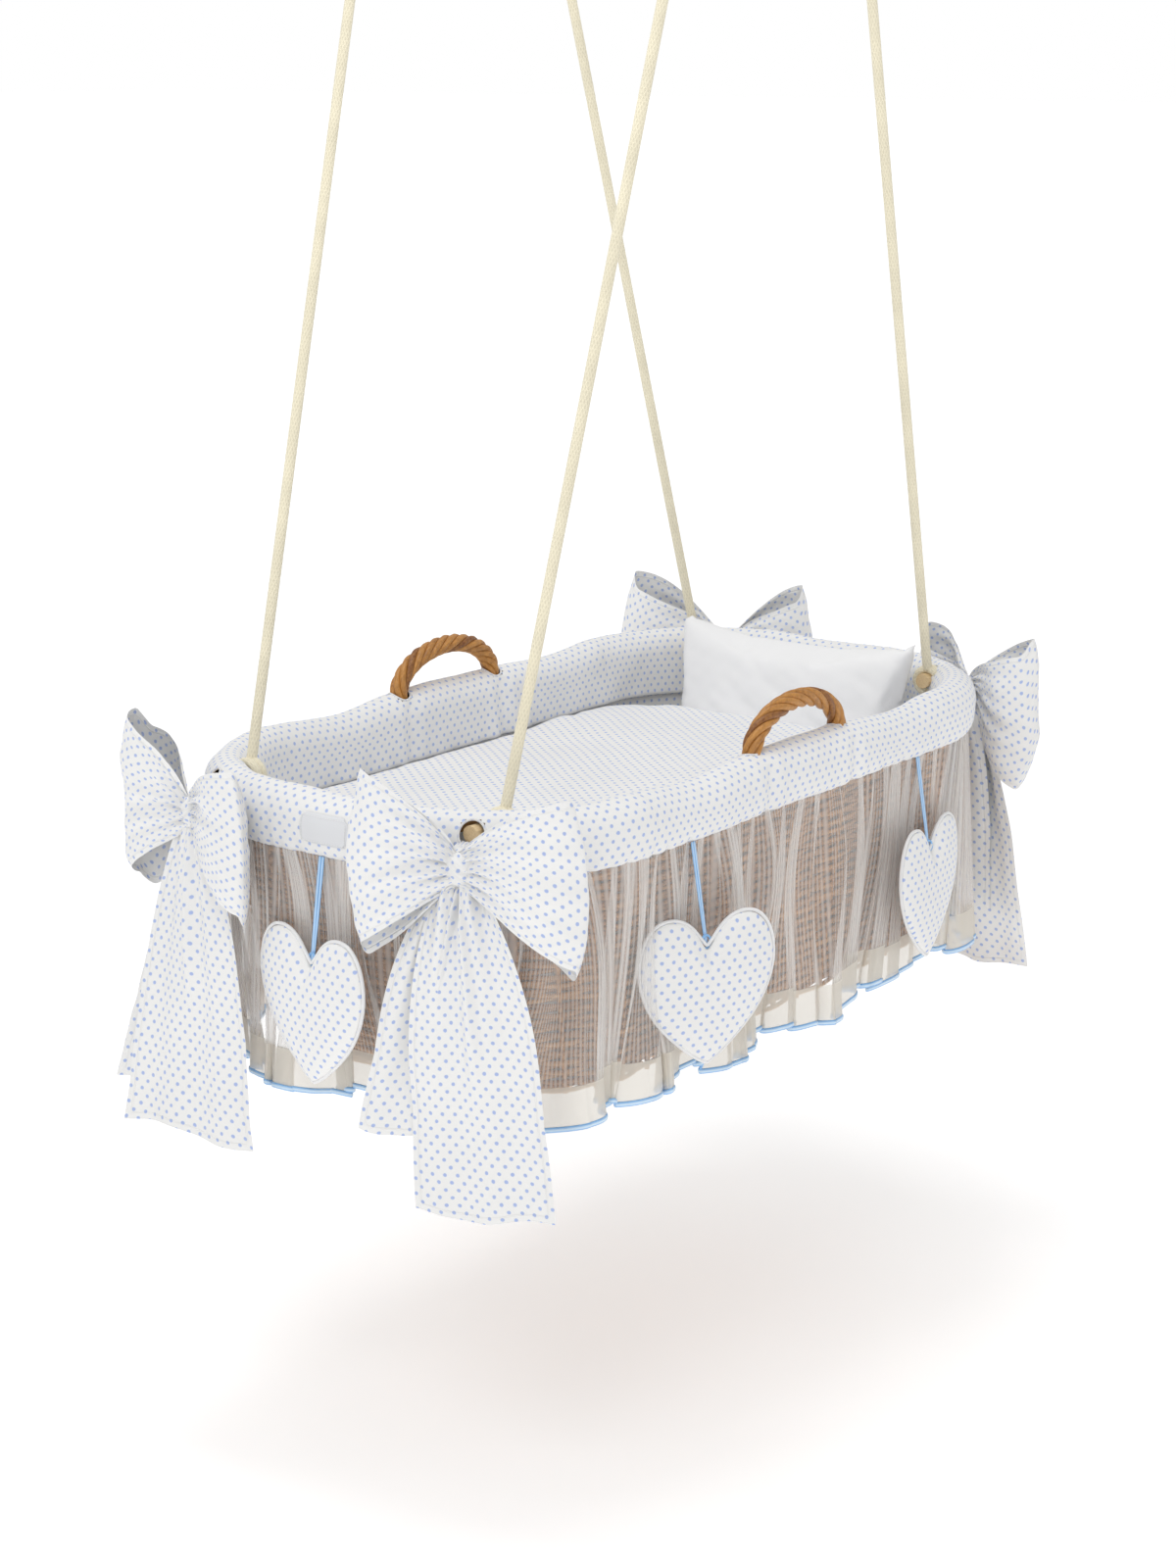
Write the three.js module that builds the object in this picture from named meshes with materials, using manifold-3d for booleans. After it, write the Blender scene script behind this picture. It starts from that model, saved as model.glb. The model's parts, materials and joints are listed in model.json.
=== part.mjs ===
// A hanging wicker cradle: a padded, skirted basket on four cotton ropes.
// Millimetres, +Z up, +X towards the head end. The origin is the middle of the
// four ceiling plates, on the ceiling, because the cradle hangs from there.
import * as THREE from 'three';
import { mergeVertices } from 'three/addons/utils/BufferGeometryUtils.js';
import Module from 'manifold-3d';

const wasm = await Module();
wasm.setup();

// Driving dimensions of the whole cradle
const hang = 800; // ceiling down to the crest of the rim cover
const basketLength = 850; // over the wicker, at the rim
const basketWidth = 448;
const basketDepth = 281; // crest of the rim cover down to the underside of the base
const rimCornerRadius = 162; // outside of the wicker
const baseLength = 730; // over the wicker, at the base
const baseWidth = 402;
const baseCornerRadius = 125;
const wallThickness = 10;
const baseThickness = 10;
const stakeCount = 52; // upright willow stakes that the rods are woven round
const ribDepth = 2.6; // the weave stands out at each stake by this
const seatGap = 0.3; // between pieces that touch

// Wicker border that crowns the wall
const borderHeight = 30;
const borderOverWall = 2; // how far it stands proud of the wall on each side
const coverOverBorder = 3.6; // padding on top of the border

// Padded cover over the rim
const coverPadOutside = 18; // beyond the wall's outer face, where it bulges most
const coverPadInside = 15; // beyond the wall's inner face
const coverDropOutside = 57; // crest down to the outer edge, where the skirt is sewn
const coverDropInside = 72;
const coverShoulderOutside = 30; // depth of the rounded outer shoulder
const coverShoulderInside = 26;
const coverHemTuck = 4; // the outer edge is drawn in by this much
const coverHemRise = 12; // over this height
const coverFlapThickness = 8; // of the inner flap at its lower edge
const linerThickness = 2; // of the cloth below the flap

// Sheer skirt sewn under the cover
const skirtDrop = 285; // crest down to its hem
const skirtThickness = 1.6;
const skirtInset = 9; // its sewn edge, inside the cover's widest line
const skirtHemInset = 14; // its hem, inside the same line
const skirtFolds = 24;
const skirtFoldAtTop = 1.4; // half depth of a fold
const skirtFoldAtHem = 7.5;
const skirtHemWave = 5; // half height of the wavy hem
const skirtHemWaves = 7;
const skirtPress = 7; // how far a hanging heart presses it in
const skirtPressSpread = 75;
const skirtDrifts = 5; // its folds drift this many times round the rim
const skirtDriftShare = 0.7;
const bindingHeight = 7;
const bindingThickness = 3;
const bindingGap = 0.5;

// Four ropes, from the ceiling to the corners of the rim
const ropeDiameter = 10;
const ropeHeadX = 154; // where a rope hangs on its ring
const ropeHeadY = 181;
const ropeFootInX = 57; // where it is tied to its peg, inside the wicker's rim
const ropeFootInY = 74;
const pegDepth = 17; // crest down to the pegs
const pegDiameter = 16;
const pegInnerIn = 70; // the inner end of a peg, inside the wicker's rim
const pegOuterIn = 12;
const knotRadius = 12; // of the lower knot, round the peg
const knotBoreGap = 0.8; // round the peg, because the tied rope gives a little
const openPivotGap = 4.2; // clearance of a rope's foot over its knot, at three corners
const ropeSlotRadius = 16; // opening in the cover for the knot and its rope
const pegHoleRadius = 11; // opening in the cover in front of a peg

// Ceiling plate with its eye, and the ring that hangs in it
const plateLength = 62;
const plateWidth = 36;
const plateThickness = 4;
const plateCorner = 10;
const screwHeadRadius = 5;
const screwHeadTopShare = 0.7; // of its radius
const screwHeadHeight = 2.4;
const screwSpacing = 44;
const eyeWireRadius = 3;
const eyeRadius = 12; // to the middle of the wire
const eyeDrop = 26; // ceiling down to the middle of the wire at the eye's foot
const ringRadius = 17; // to the middle of the wire
const ringWireRadius = 3;
const ropeLoopRadius = 13; // of the eye at the rope's head, to the middle of the rope
const headKnotRadius = 11;
const headKnotLength = 26;
const headKnotLip = 0.45; // of the knot's lower end, round the rope

// Two twisted willow handles on the long sides
const handleSpan = 150; // between the middles of the feet
const handleRise = 37; // crest up to the middle of the rod
const handleDiameter = 18;
const handleInset = 8; // middle of the rod, inside the wall's outer face
const handleHoleGap = 0.6;

// Bedding
const mattressEndIn = 25; // its edge, inside the outline of the base
const mattressSideIn = 26;
const mattressThickness = 105;
const mattressRounding = 12;
const quiltEndGap = 8.8; // between its foot end and the liner
const quiltSideGap = 12.2; // between its sides and the liner
const quiltUnderPillow = 70; // from its head edge to the middle of the pillow
const quiltCorner = 150;
const quiltThickness = 96;
const pillowWidth = 316;
const pillowHeight = 196;
const pillowThickness = 62;
const pillowLean = 10; // degrees back from upright
const pillowInX = 99; // its middle, inside the wicker's rim
const pillowDrawIn = 9; // at the sides and the top, between the corners

// Hearts on ribbons
const heartWidth = 128;
const heartHeight = 138;
const heartThickness = 20;
const heartSideX = 200; // along the long sides
const heartStandOff = 25; // its middle plane, outside the middle of the skirt's hem
const heartNotchDepth = 142; // crest down to the notch of a heart
const ribbonWidth = 6;
const ribbonThickness = 1.6;
const ribbonInset = 4.8; // its top, inside the cover's widest line
const ribbonEndGap = 5; // its end stays above the notch, between the lobes

// Sashes tied into bows at the corners
const bowAngle = 29; // where the knot sits on the round corner, in degrees from X
const bowFacing = 20; // the way the bow faces
const bowDepth = 40; // crest down to the knot
const bowKnotWidth = 34;
const bowKnotHeight = 38;
const bowKnotThickness = 28;
const bowLoopLong = 118;
const bowLoopShort = 94;
const bowLoopHeight = 146;
const bowLoopThickness = 30;
const bowLoopForward = 9; // middle of the loops, in front of the middle of the knot
const bowSeatGap = 0.3; // between its knot and the cover
const tailDepth = 352; // crest down to the end of the front tail
const tailDepthBack = 288;
const tailWidthTop = 34;
const tailWidthEnd = 124;
const tailThickness = 5;
const tailPleat = 6; // half depth of its folds
const tailPleats = 2.5;
const tailOffset = 9; // between the middles of the two tails
const tailSpread = 26; // sideways, knot to the middle of the front tail's end
const tailSpreadBack = -28;

// Bare patch on the foot end
const patchWidth = 56;
const patchThickness = 1.4;
const patchFoot = -44; // crest down to its lower edge
const patchY = -7;
const patchTopStep = 1.5; // its upper edge, in steps of the cover's outer shoulder

// Worked out from the sizes above
const cornerX = basketLength / 2 - rimCornerRadius;
const cornerY = basketWidth / 2 - rimCornerRadius;
const ropeFootX = basketLength / 2 - ropeFootInX;
const ropeFootY = basketWidth / 2 - ropeFootInY;
const pegInnerX = basketLength / 2 - pegInnerIn;
const pegOuterX = basketLength / 2 - pegOuterIn;
const pillowX = basketLength / 2 - pillowInX;
const innerRadius = rimCornerRadius - wallThickness;
const coverRadius = rimCornerRadius + coverPadOutside;
const borderTop = -coverOverBorder - seatGap;
const borderFoot = borderTop - borderHeight;
const pegRadius = pegDiameter / 2;
const ropeRadius = ropeDiameter / 2;
const overrun = 20;
const signs = [-1, 1];
const corners = [
  { name: 'foot_left', x: -1, y: 1 },
  { name: 'foot_right', x: -1, y: -1 },
  { name: 'head_right', x: 1, y: -1 },
  { name: 'head_left', x: 1, y: 1 },
];
// The rope at this corner carries the tree of joints, so its knot has no open pivot
const closedCorner = 'foot_left';

// A height measured from the crest of the cover, in the part's frame
const level = (z) => z - hang;

const cradle = new THREE.Group();
const material = (color, roughness, metalness = 0, opacity = 1) =>
  new THREE.MeshStandardMaterial({
    color, roughness, metalness, opacity, transparent: opacity < 1,
  });
const dotted = material(0xf1f2f6, 0.9);
const plainCotton = material(0xf4f3f0, 0.9);
const sheer = material(0xf5f2ee, 0.7, 0, 0.5);
const satin = material(0x7db2ea, 0.4);
const cotton = material(0xdfd2ac, 0.95);
const willow = material(0x9a6b3c, 0.75);
const stripped = material(0xd8b98a, 0.7);
const steel = material(0xb9bcc0, 0.35, 1);

function addPiece(name, geometry, finish) {
  const mesh = new THREE.Mesh(geometry, finish);
  mesh.name = name;
  cradle.add(mesh);
}

// Joins and cuts
function solidOf(geometry) {
  const bare = geometry.index ? geometry.clone() : geometry;
  const shape = new THREE.BufferGeometry();
  shape.setAttribute('position', bare.getAttribute('position').clone());
  if (bare.index) shape.setIndex(bare.index.clone());
  const merged = mergeVertices(shape, 1e-4);
  return new wasm.Manifold(new wasm.Mesh({
    numProp: 3,
    vertProperties: new Float32Array(merged.getAttribute('position').array),
    triVerts: new Uint32Array(merged.index.array),
  }));
}

function geometryOf(solid) {
  const mesh = solid.getMesh();
  const geometry = new THREE.BufferGeometry();
  geometry.setAttribute('position', new THREE.BufferAttribute(mesh.vertProperties, 3));
  geometry.setIndex(new THREE.BufferAttribute(mesh.triVerts, 1));
  return geometry;
}

const joined = (...parts) => geometryOf(parts.map(solidOf).reduce((a, b) => a.add(b)));
const cut = (part, ...tools) =>
  geometryOf(tools.map(solidOf).reduce((a, b) => a.subtract(b), solidOf(part)));

function closedMesh(points, faces) {
  const geometry = new THREE.BufferGeometry();
  geometry.setAttribute('position', new THREE.Float32BufferAttribute(points.flat(), 3));
  geometry.setIndex(faces.flat());
  return geometry;
}

const quad = (a, b, c, d) => [a, b, c, a, c, d];

// Rounded rectangle as points with outward normals, counterclockwise from the
// middle of the +X end: `straight` steps on a side and `turn` steps on a corner
function roundedOutline({ halfX, halfY, radius }, { endSteps, sideSteps, turnSteps }) {
  const points = [];
  const straight = (from, to, steps, nx, ny) => {
    for (let i = 0; i < steps; i += 1) {
      const t = i / steps;
      points.push({ x: from[0] + (to[0] - from[0]) * t, y: from[1] + (to[1] - from[1]) * t, nx, ny });
    }
  };
  const turn = (cx, cy, start) => {
    for (let i = 0; i < turnSteps; i += 1) {
      const a = start + (Math.PI / 2) * (i / turnSteps);
      const nx = Math.cos(a);
      const ny = Math.sin(a);
      points.push({ x: cx + radius * nx, y: cy + radius * ny, nx, ny });
    }
  };
  const cx = halfX - radius;
  const cy = halfY - radius;
  straight([halfX, -cy], [halfX, cy], endSteps, 1, 0);
  turn(cx, cy, 0);
  straight([cx, halfY], [-cx, halfY], sideSteps, 0, 1);
  turn(-cx, cy, Math.PI / 2);
  straight([-halfX, cy], [-halfX, -cy], endSteps, -1, 0);
  turn(-cx, -cy, Math.PI);
  straight([-cx, -halfY], [cx, -halfY], sideSteps, 0, -1);
  turn(cx, -cy, -Math.PI / 2);
  return points;
}

// Size of the rounded rectangle that runs round the rim at one radius
const rimLoop = (radius, z) => ({ halfX: cornerX + radius, halfY: cornerY + radius, radius, z });

// The wall's outline at a height below the crest, moved in by an inset
function wallLoop(z, inset) {
  const top = borderFoot - seatGap;
  const down = (top - z) / (top + basketDepth);
  const between = (rim, base) => rim + (base - rim) * down;
  return {
    halfX: between(basketLength, baseLength) / 2 - inset,
    halfY: between(basketWidth, baseWidth) / 2 - inset,
    radius: between(rimCornerRadius, baseCornerRadius) - inset,
    z: level(z),
  };
}

// A hollow ring: a closed profile of rounded rectangles, in order up the outside,
// over the top and down the inside
const ringGeometry = (profile, steps) =>
  ringThrough(profile.map((loop) => roundedOutline(loop, steps).map((p) => [p.x, p.y, loop.z])));

function ringThrough(loops) {
  const count = loops[0].length;
  const faces = [];
  loops.forEach((_, j) => {
    const next = (j + 1) % loops.length;
    for (let i = 0; i < count; i += 1) {
      const k = (i + 1) % count;
      faces.push(quad(j * count + i, j * count + k, next * count + k, next * count + i));
    }
  });
  return closedMesh(loops.flat(), faces);
}

// A straight or curved rod of round section
function rodGeometry(path, radius, sides, steps) {
  const section = new THREE.Shape();
  for (let i = 0; i < sides; i += 1) {
    const a = (2 * Math.PI * i) / sides;
    const move = i === 0 ? 'moveTo' : 'lineTo';
    section[move](radius * Math.cos(a), radius * Math.sin(a));
  }
  section.closePath();
  return new THREE.ExtrudeGeometry(section, { steps, bevelEnabled: false, extrudePath: path });
}

// A padded shape in the plane of x and y, thick along z: `shares` runs from the
// edge inwards as [share of the outline, share of the half thickness]
function padGeometry(outline, centre, halfThickness, shares) {
  const count = outline.length;
  const points = [];
  const faces = [];
  const rings = shares.filter(([reach]) => reach > 0);
  const peakShare = shares.at(-1)[1];
  for (const side of [1, -1]) {
    const start = points.length;
    rings.forEach(([reach, height]) => {
      outline.forEach(([x, y]) => points.push([
        centre[0] + (x - centre[0]) * reach,
        centre[1] + (y - centre[1]) * reach,
        side * halfThickness * height,
      ]));
    });
    points.push([centre[0], centre[1], side * halfThickness * peakShare]);
    const peak = points.length - 1;
    const flip = (face) => (side > 0 ? face : face.reverse());
    for (let i = 0; i < count; i += 1) {
      const k = (i + 1) % count;
      for (let j = 0; j + 1 < rings.length; j += 1) {
        const a = start + j * count;
        const b = a + count;
        faces.push(flip(quad(a + i, a + k, b + k, b + i)));
      }
      const last = start + (rings.length - 1) * count;
      faces.push(flip([last + i, last + k, peak]));
    }
  }
  const back = rings.length * count + 1;
  for (let i = 0; i < count; i += 1) {
    const k = (i + 1) % count;
    faces.push(quad(back + i, back + k, k, i));
  }
  return closedMesh(points, faces);
}

// Turns a piece built in x (sideways), y (up) and z (outwards) to face outwards
function faceOutwards(geometry, place, outward) {
  const out = new THREE.Vector3(outward[0], outward[1], 0).normalize();
  const up = new THREE.Vector3(0, 0, 1);
  const side = new THREE.Vector3().crossVectors(up, out);
  const turn = new THREE.Matrix4().makeBasis(side, up, out);
  turn.setPosition(new THREE.Vector3(...place));
  return geometry.clone().applyMatrix4(turn);
}

// Basket
const shellSteps = { endSteps: 2, sideSteps: 3, turnSteps: 8 };

// One loop of the weave, with a rib at each stake and a valley between two stakes
function wovenLoop(loop, riseOf) {
  const count = 2 * stakeCount;
  return Array.from({ length: count }, (_, i) => {
    const p = pointAround(rimLoop(coverRadius, 0), i / count);
    const coreX = ((p.x - p.nx * coverRadius) * (loop.halfX - loop.radius)) / cornerX;
    const coreY = ((p.y - p.ny * coverRadius) * (loop.halfY - loop.radius)) / cornerY;
    const { out, up } = riseOf(i % 2 === 0);
    const reach = loop.radius + out;
    return [coreX + p.nx * reach, coreY + p.ny * reach, loop.z + up];
  });
}

function loopsAcross(inset, run) {
  const top = borderFoot - seatGap;
  return [wallLoop(-basketDepth - run, inset), wallLoop(top + run, inset)];
}

function wallGeometry() {
  // The facets of the cover's round corners lie this much inside their circle
  const inset = rimCornerRadius * (1 - Math.cos(Math.PI / 4 / shellSteps.turnSteps));
  const rib = (onStake) => ({ out: onStake ? 0 : -ribDepth, up: 0 });
  const within = () => ({ out: 0, up: 0 });
  const outside = loopsAcross(inset, 0).map((loop) => wovenLoop(loop, rib));
  const inside = loopsAcross(2 * wallThickness, 0).map((loop) => wovenLoop(loop, within));
  const body = ringThrough([...outside, ...inside.reverse()]);
  const hollow = ringGeometry([
    ...loopsAcross(wallThickness, overrun),
    ...loopsAcross(3 * wallThickness, overrun).reverse(),
  ], shellSteps);
  return cut(body, hollow);
}

function borderGeometry() {
  const outer = rimCornerRadius + borderOverWall;
  const inner = innerRadius - borderOverWall;
  const round = (outer - inner) / 4;
  const profile = [
    rimLoop(outer, level(borderFoot)),
    rimLoop(outer, level(borderTop - round)),
    rimLoop(outer - round, level(borderTop)),
    rimLoop(inner + round, level(borderTop)),
    rimLoop(inner, level(borderTop - round)),
    rimLoop(inner, level(borderFoot)),
  ];
  return ringGeometry(profile, shellSteps);
}

function plateShape(length, width, corner) {
  const x = length / 2;
  const y = width / 2;
  const shape = new THREE.Shape();
  shape.moveTo(x - corner, -y);
  shape.absarc(x - corner, corner - y, corner, -Math.PI / 2, 0);
  shape.absarc(x - corner, y - corner, corner, 0, Math.PI / 2);
  shape.absarc(corner - x, y - corner, corner, Math.PI / 2, Math.PI);
  shape.absarc(corner - x, corner - y, corner, Math.PI, Math.PI * 1.5);
  return shape;
}

function floorGeometry() {
  const inset = wallThickness + seatGap;
  const shape = plateShape(baseLength - 2 * inset, baseWidth - 2 * inset, baseCornerRadius - inset);
  const floor = new THREE.ExtrudeGeometry(shape, {
    depth: baseThickness, bevelEnabled: false, curveSegments: shellSteps.turnSteps / 2,
  });
  floor.translate(0, 0, level(-basketDepth));
  // The underside rises between the sticks of the base
  const foot = { ...wallLoop(-basketDepth, -overrun) };
  const middle = wallLoop(-basketDepth, baseCornerRadius - overrun);
  const rise = (onStake) => ({ out: 0, up: onStake ? 0 : ribDepth });
  const flat = () => ({ out: 0, up: 0 });
  const under = (loop) => ({ ...loop, z: loop.z - overrun });
  const valleys = ringThrough([
    wovenLoop(under(foot), flat),
    wovenLoop(foot, rise),
    wovenLoop(middle, flat),
    wovenLoop(under(middle), flat),
  ]);
  return cut(floor, valleys);
}

// Where a rope is tied to its peg
const ropeFoot = ({ x, y }) => new THREE.Vector3(x * ropeFootX, y * ropeFootY, level(-pegDepth));

function pegGeometry(corner, radius, innerX, outerX) {
  const foot = ropeFoot(corner);
  const ends = [innerX, outerX].map((x) => new THREE.Vector3(corner.x * x, foot.y, foot.z));
  return rodGeometry(new THREE.LineCurve3(...ends), radius, 12, 1);
}

class HandleArch extends THREE.Curve {
  constructor(y) {
    super();
    this.y = y;
  }

  getPoint(t, target = new THREE.Vector3()) {
    const a = Math.PI * (1 - t);
    const foot = level(borderTop + seatGap);
    const rise = level(handleRise) - foot;
    return target.set((handleSpan / 2) * Math.cos(a), this.y, foot + rise * Math.sin(a));
  }
}

const handleY = cornerY + rimCornerRadius - handleInset;
const handleGeometry = (side, radius) =>
  rodGeometry(new HandleArch(side * handleY), radius, 8, 14);

// A point on the cover's outer shoulder, some steps up from its widest line. It
// lies on the flat facets, so a part step is a share of a facet
const crestRadius = (rimCornerRadius + innerRadius) / 2;
const shoulderSteps = 4;

function coverShoulder(step) {
  const at = (i) => {
    const a = (Math.PI / 2) * (i / shoulderSteps);
    return [
      crestRadius + (coverRadius - crestRadius) * Math.cos(a),
      -coverShoulderOutside * (1 - Math.sin(a)),
    ];
  };
  const low = at(Math.floor(step));
  const high = at(Math.ceil(step));
  const part = step - Math.floor(step);
  return low.map((value, i) => value + (high[i] - value) * part);
}

function coverGeometry() {
  const insideRadius = innerRadius - coverPadInside;
  const profile = [
    [rimCornerRadius + borderOverWall + seatGap, -coverDropOutside],
    [coverRadius - coverHemTuck, -coverDropOutside],
    [coverRadius, -coverDropOutside + coverHemRise],
  ];
  for (let i = 0; i <= shoulderSteps; i += 1) profile.push(coverShoulder(i));
  for (let i = shoulderSteps - 1; i >= 0; i -= 1) {
    const a = (Math.PI / 2) * (i / shoulderSteps);
    profile.push([
      crestRadius + (insideRadius - crestRadius) * Math.cos(a),
      -coverShoulderInside * (1 - Math.sin(a)),
    ]);
  }
  const flap = wallThickness + 2 * seatGap;
  const ring = ringGeometry([
    ...profile.map(([radius, z]) => rimLoop(radius, level(z))),
    wallLoop(-coverDropInside, flap + coverFlapThickness),
    wallLoop(-coverDropInside, flap),
    rimLoop(innerRadius - borderOverWall - seatGap, level(borderFoot)),
    rimLoop(innerRadius - borderOverWall - seatGap, level(borderTop + seatGap)),
    rimLoop(rimCornerRadius + borderOverWall + seatGap, level(borderTop + seatGap)),
  ], shellSteps);
  const tools = [];
  corners.forEach((corner) => {
    const foot = ropeFoot(corner);
    const slotTop = foot.clone().lerp(ropeHead(corner), overrun * 2 / hang);
    tools.push(new THREE.SphereGeometry(ropeSlotRadius, 8, 5).translate(foot.x, foot.y, foot.z));
    tools.push(rodGeometry(new THREE.LineCurve3(foot, slotTop), ropeSlotRadius, 8, 1));
    tools.push(pegGeometry(corner, pegHoleRadius, ropeFootX, pegOuterX + overrun));
  });
  const handleHole = handleDiameter / 2 + handleHoleGap;
  signs.forEach((side) => {
    tools.push(handleGeometry(side, handleHole));
    signs.forEach((end) => {
      const foot = [end * (handleSpan / 2), side * handleY];
      const heights = [-handleHoleGap, handleHoleGap].map((z) => level(borderTop + seatGap + z));
      const ends = heights.map((z) => new THREE.Vector3(...foot, z));
      tools.push(rodGeometry(new THREE.LineCurve3(...ends), handleHole, 8, 1));
    });
  });
  return cut(ring, ...tools);
}

// Ropes and what holds them. A ring hangs in the eye of its ceiling plate, and
// a rope's own eye hangs in the ring, so each rope swings both ways
const ringDrop = 2 * ringRadius - eyeWireRadius - ringWireRadius - seatGap;
const ropeLeanX = (ropeFootX - ropeHeadX) / (hang - eyeDrop + pegDepth - ringDrop);
const leanLength = Math.hypot(1, ropeLeanX);
const ringDown = ({ x }) => new THREE.Vector3((x * ropeLeanX) / leanLength, 0, -1 / leanLength);
const eyeFoot = (corner) => ropeHead(corner).addScaledVector(ringDown(corner), -ringDrop);
function ropeHead(corner) {
  return new THREE.Vector3(
    corner.x * ropeHeadX, corner.y * ropeHeadY, -eyeDrop - ringDrop / leanLength,
  );
}

// Direction of a rope, from its head to its foot
const ropeDown = (corner) => ropeFoot(corner).sub(ropeHead(corner)).normalize();

function ceilingPlateGeometry(corner) {
  const foot = eyeFoot(corner);
  const plate = new THREE.ExtrudeGeometry(plateShape(plateLength, plateWidth, plateCorner), {
    depth: plateThickness, bevelEnabled: false, curveSegments: 2,
  }).translate(foot.x, foot.y, -plateThickness);
  const legTop = -plateThickness / 2;
  const eyeMiddle = foot.z + eyeRadius;
  const bend = [];
  for (let i = 0; i <= 8; i += 1) {
    const a = Math.PI * (i / 8);
    bend.push(new THREE.Vector3(
      foot.x, foot.y - eyeRadius * Math.cos(a), eyeMiddle - eyeRadius * Math.sin(a),
    ));
  }
  const legs = signs.map((side) => new THREE.Vector3(foot.x, foot.y + side * eyeRadius, legTop));
  const route = new THREE.CatmullRomCurve3([legs[0], ...bend, legs[1]], false, 'centripetal');
  const wire = rodGeometry(route, eyeWireRadius, 6, 12);
  const heads = signs.map((side) =>
    new THREE.CylinderGeometry(
      screwHeadRadius * screwHeadTopShare, screwHeadRadius, screwHeadHeight * 2, 8,
    )
      .rotateX(-Math.PI / 2)
      .translate(foot.x + side * (screwSpacing / 2), foot.y, -plateThickness));
  return joined(plate, wire, ...heads);
}

function ringLinkGeometry(corner) {
  const middle = ropeHead(corner).addScaledVector(ringDown(corner), -ringRadius);
  return new THREE.TorusGeometry(ringRadius, ringWireRadius, 6, 18)
    .rotateX(Math.PI / 2)
    .translate(middle.x, middle.y, middle.z);
}

// Turns a piece built along +Z so that +Z runs down a rope and x stays sideways
function alongRope(geometry, corner, distance) {
  const down = ropeDown(corner);
  const across = new THREE.Vector3(0, 1, 0).cross(down).normalize();
  const side = new THREE.Vector3().crossVectors(down, across);
  const turn = new THREE.Matrix4().makeBasis(across, side, down);
  turn.setPosition(ropeHead(corner).addScaledVector(down, distance));
  return geometry.clone().applyMatrix4(turn);
}

const loopMiddle = ropeLoopRadius - ringWireRadius - ropeRadius - seatGap;
const headKnotMiddle = loopMiddle + ropeLoopRadius + headKnotLength / 2 - ropeRadius;

function ropeEyeGeometry(corner) {
  const loop = new THREE.TorusGeometry(ropeLoopRadius, ropeRadius, 6, 12).rotateY(Math.PI / 2);
  const half = headKnotLength / 2;
  const outline = [
    [0, -half], [ropeRadius, -half], [headKnotRadius, -half / 2], [headKnotRadius, half / 2],
    [ropeRadius + headKnotLip, half], [0, half],
  ].map(([r, z]) => new THREE.Vector2(r, z));
  const knot = new THREE.LatheGeometry(outline, 8).rotateX(Math.PI / 2);
  return joined(alongRope(loop, corner, loopMiddle), alongRope(knot, corner, headKnotMiddle));
}

function ropeGeometry(corner) {
  const down = ropeDown(corner);
  const foot = ropeFoot(corner);
  const start = ropeHead(corner)
    .addScaledVector(down, headKnotMiddle + headKnotLength / 2 + seatGap);
  const rope = rodGeometry(new THREE.LineCurve3(start, foot), ropeRadius, 8, 12);
  const gap = corner.name === closedCorner ? seatGap : openPivotGap;
  const socket = new THREE.SphereGeometry(knotRadius + gap, 18, 12);
  return cut(rope, socket.translate(foot.x, foot.y, foot.z));
}

function lowerKnotGeometry(corner) {
  const foot = ropeFoot(corner);
  const ball = new THREE.SphereGeometry(knotRadius, 12, 8).translate(foot.x, foot.y, foot.z);
  return cut(ball, pegGeometry(corner, pegRadius + knotBoreGap, pegInnerX - overrun, pegOuterX));
}

// Skirt. Its folds follow one wave round the rim, deeper towards the hem, and
// it is pressed in behind each heart
const heartPlaces = [
  { name: 'foot', place: [-1, 0], out: [-1, 0], yaw: 4 },
  { name: 'head', place: [1, 0], out: [1, 0], yaw: -4 },
  { name: 'right_foot', place: [-1, -1], out: [0, -1], yaw: -14 },
  { name: 'right_head', place: [1, -1], out: [0, -1], yaw: 10 },
  { name: 'left_foot', place: [-1, 1], out: [0, 1], yaw: 6 },
  { name: 'left_head', place: [1, 1], out: [0, 1], yaw: -6 },
];
const heartX = ({ place, out }) => (out[0] ? 0 : place[0] * heartSideX);

// A point at one share of the way round a rim loop, with its outward normal
function pointAround(loop, share) {
  const sideLength = 2 * (loop.halfX - loop.radius);
  const endLength = 2 * (loop.halfY - loop.radius);
  const turnLength = (Math.PI / 2) * loop.radius;
  const quarter = sideLength / 2 + endLength / 2 + turnLength;
  const whole = 4 * quarter;
  let s = (((share % 1) + 1) % 1) * whole;
  const flipX = s > quarter && s <= 3 * quarter;
  const flipY = s > 2 * quarter;
  if (flipY) s = whole - s;
  if (s > quarter) s = 2 * quarter - s;
  let point;
  if (s <= endLength / 2) {
    point = { x: loop.halfX, y: s, nx: 1, ny: 0 };
  } else if (s <= endLength / 2 + turnLength) {
    const a = (s - endLength / 2) / loop.radius;
    point = {
      x: loop.halfX - loop.radius * (1 - Math.cos(a)),
      y: endLength / 2 + loop.radius * Math.sin(a),
      nx: Math.cos(a),
      ny: Math.sin(a),
    };
  } else {
    const rest = s - endLength / 2 - turnLength;
    point = { x: loop.halfX - loop.radius - rest, y: loop.halfY, nx: 0, ny: 1 };
  }
  const mx = flipX ? -1 : 1;
  const my = flipY ? -1 : 1;
  return { x: point.x * mx, y: point.y * my, nx: point.nx * mx, ny: point.ny * my };
}

const skirtFold = (down) => skirtFoldAtTop + (skirtFoldAtHem - skirtFoldAtTop) * down;

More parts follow.
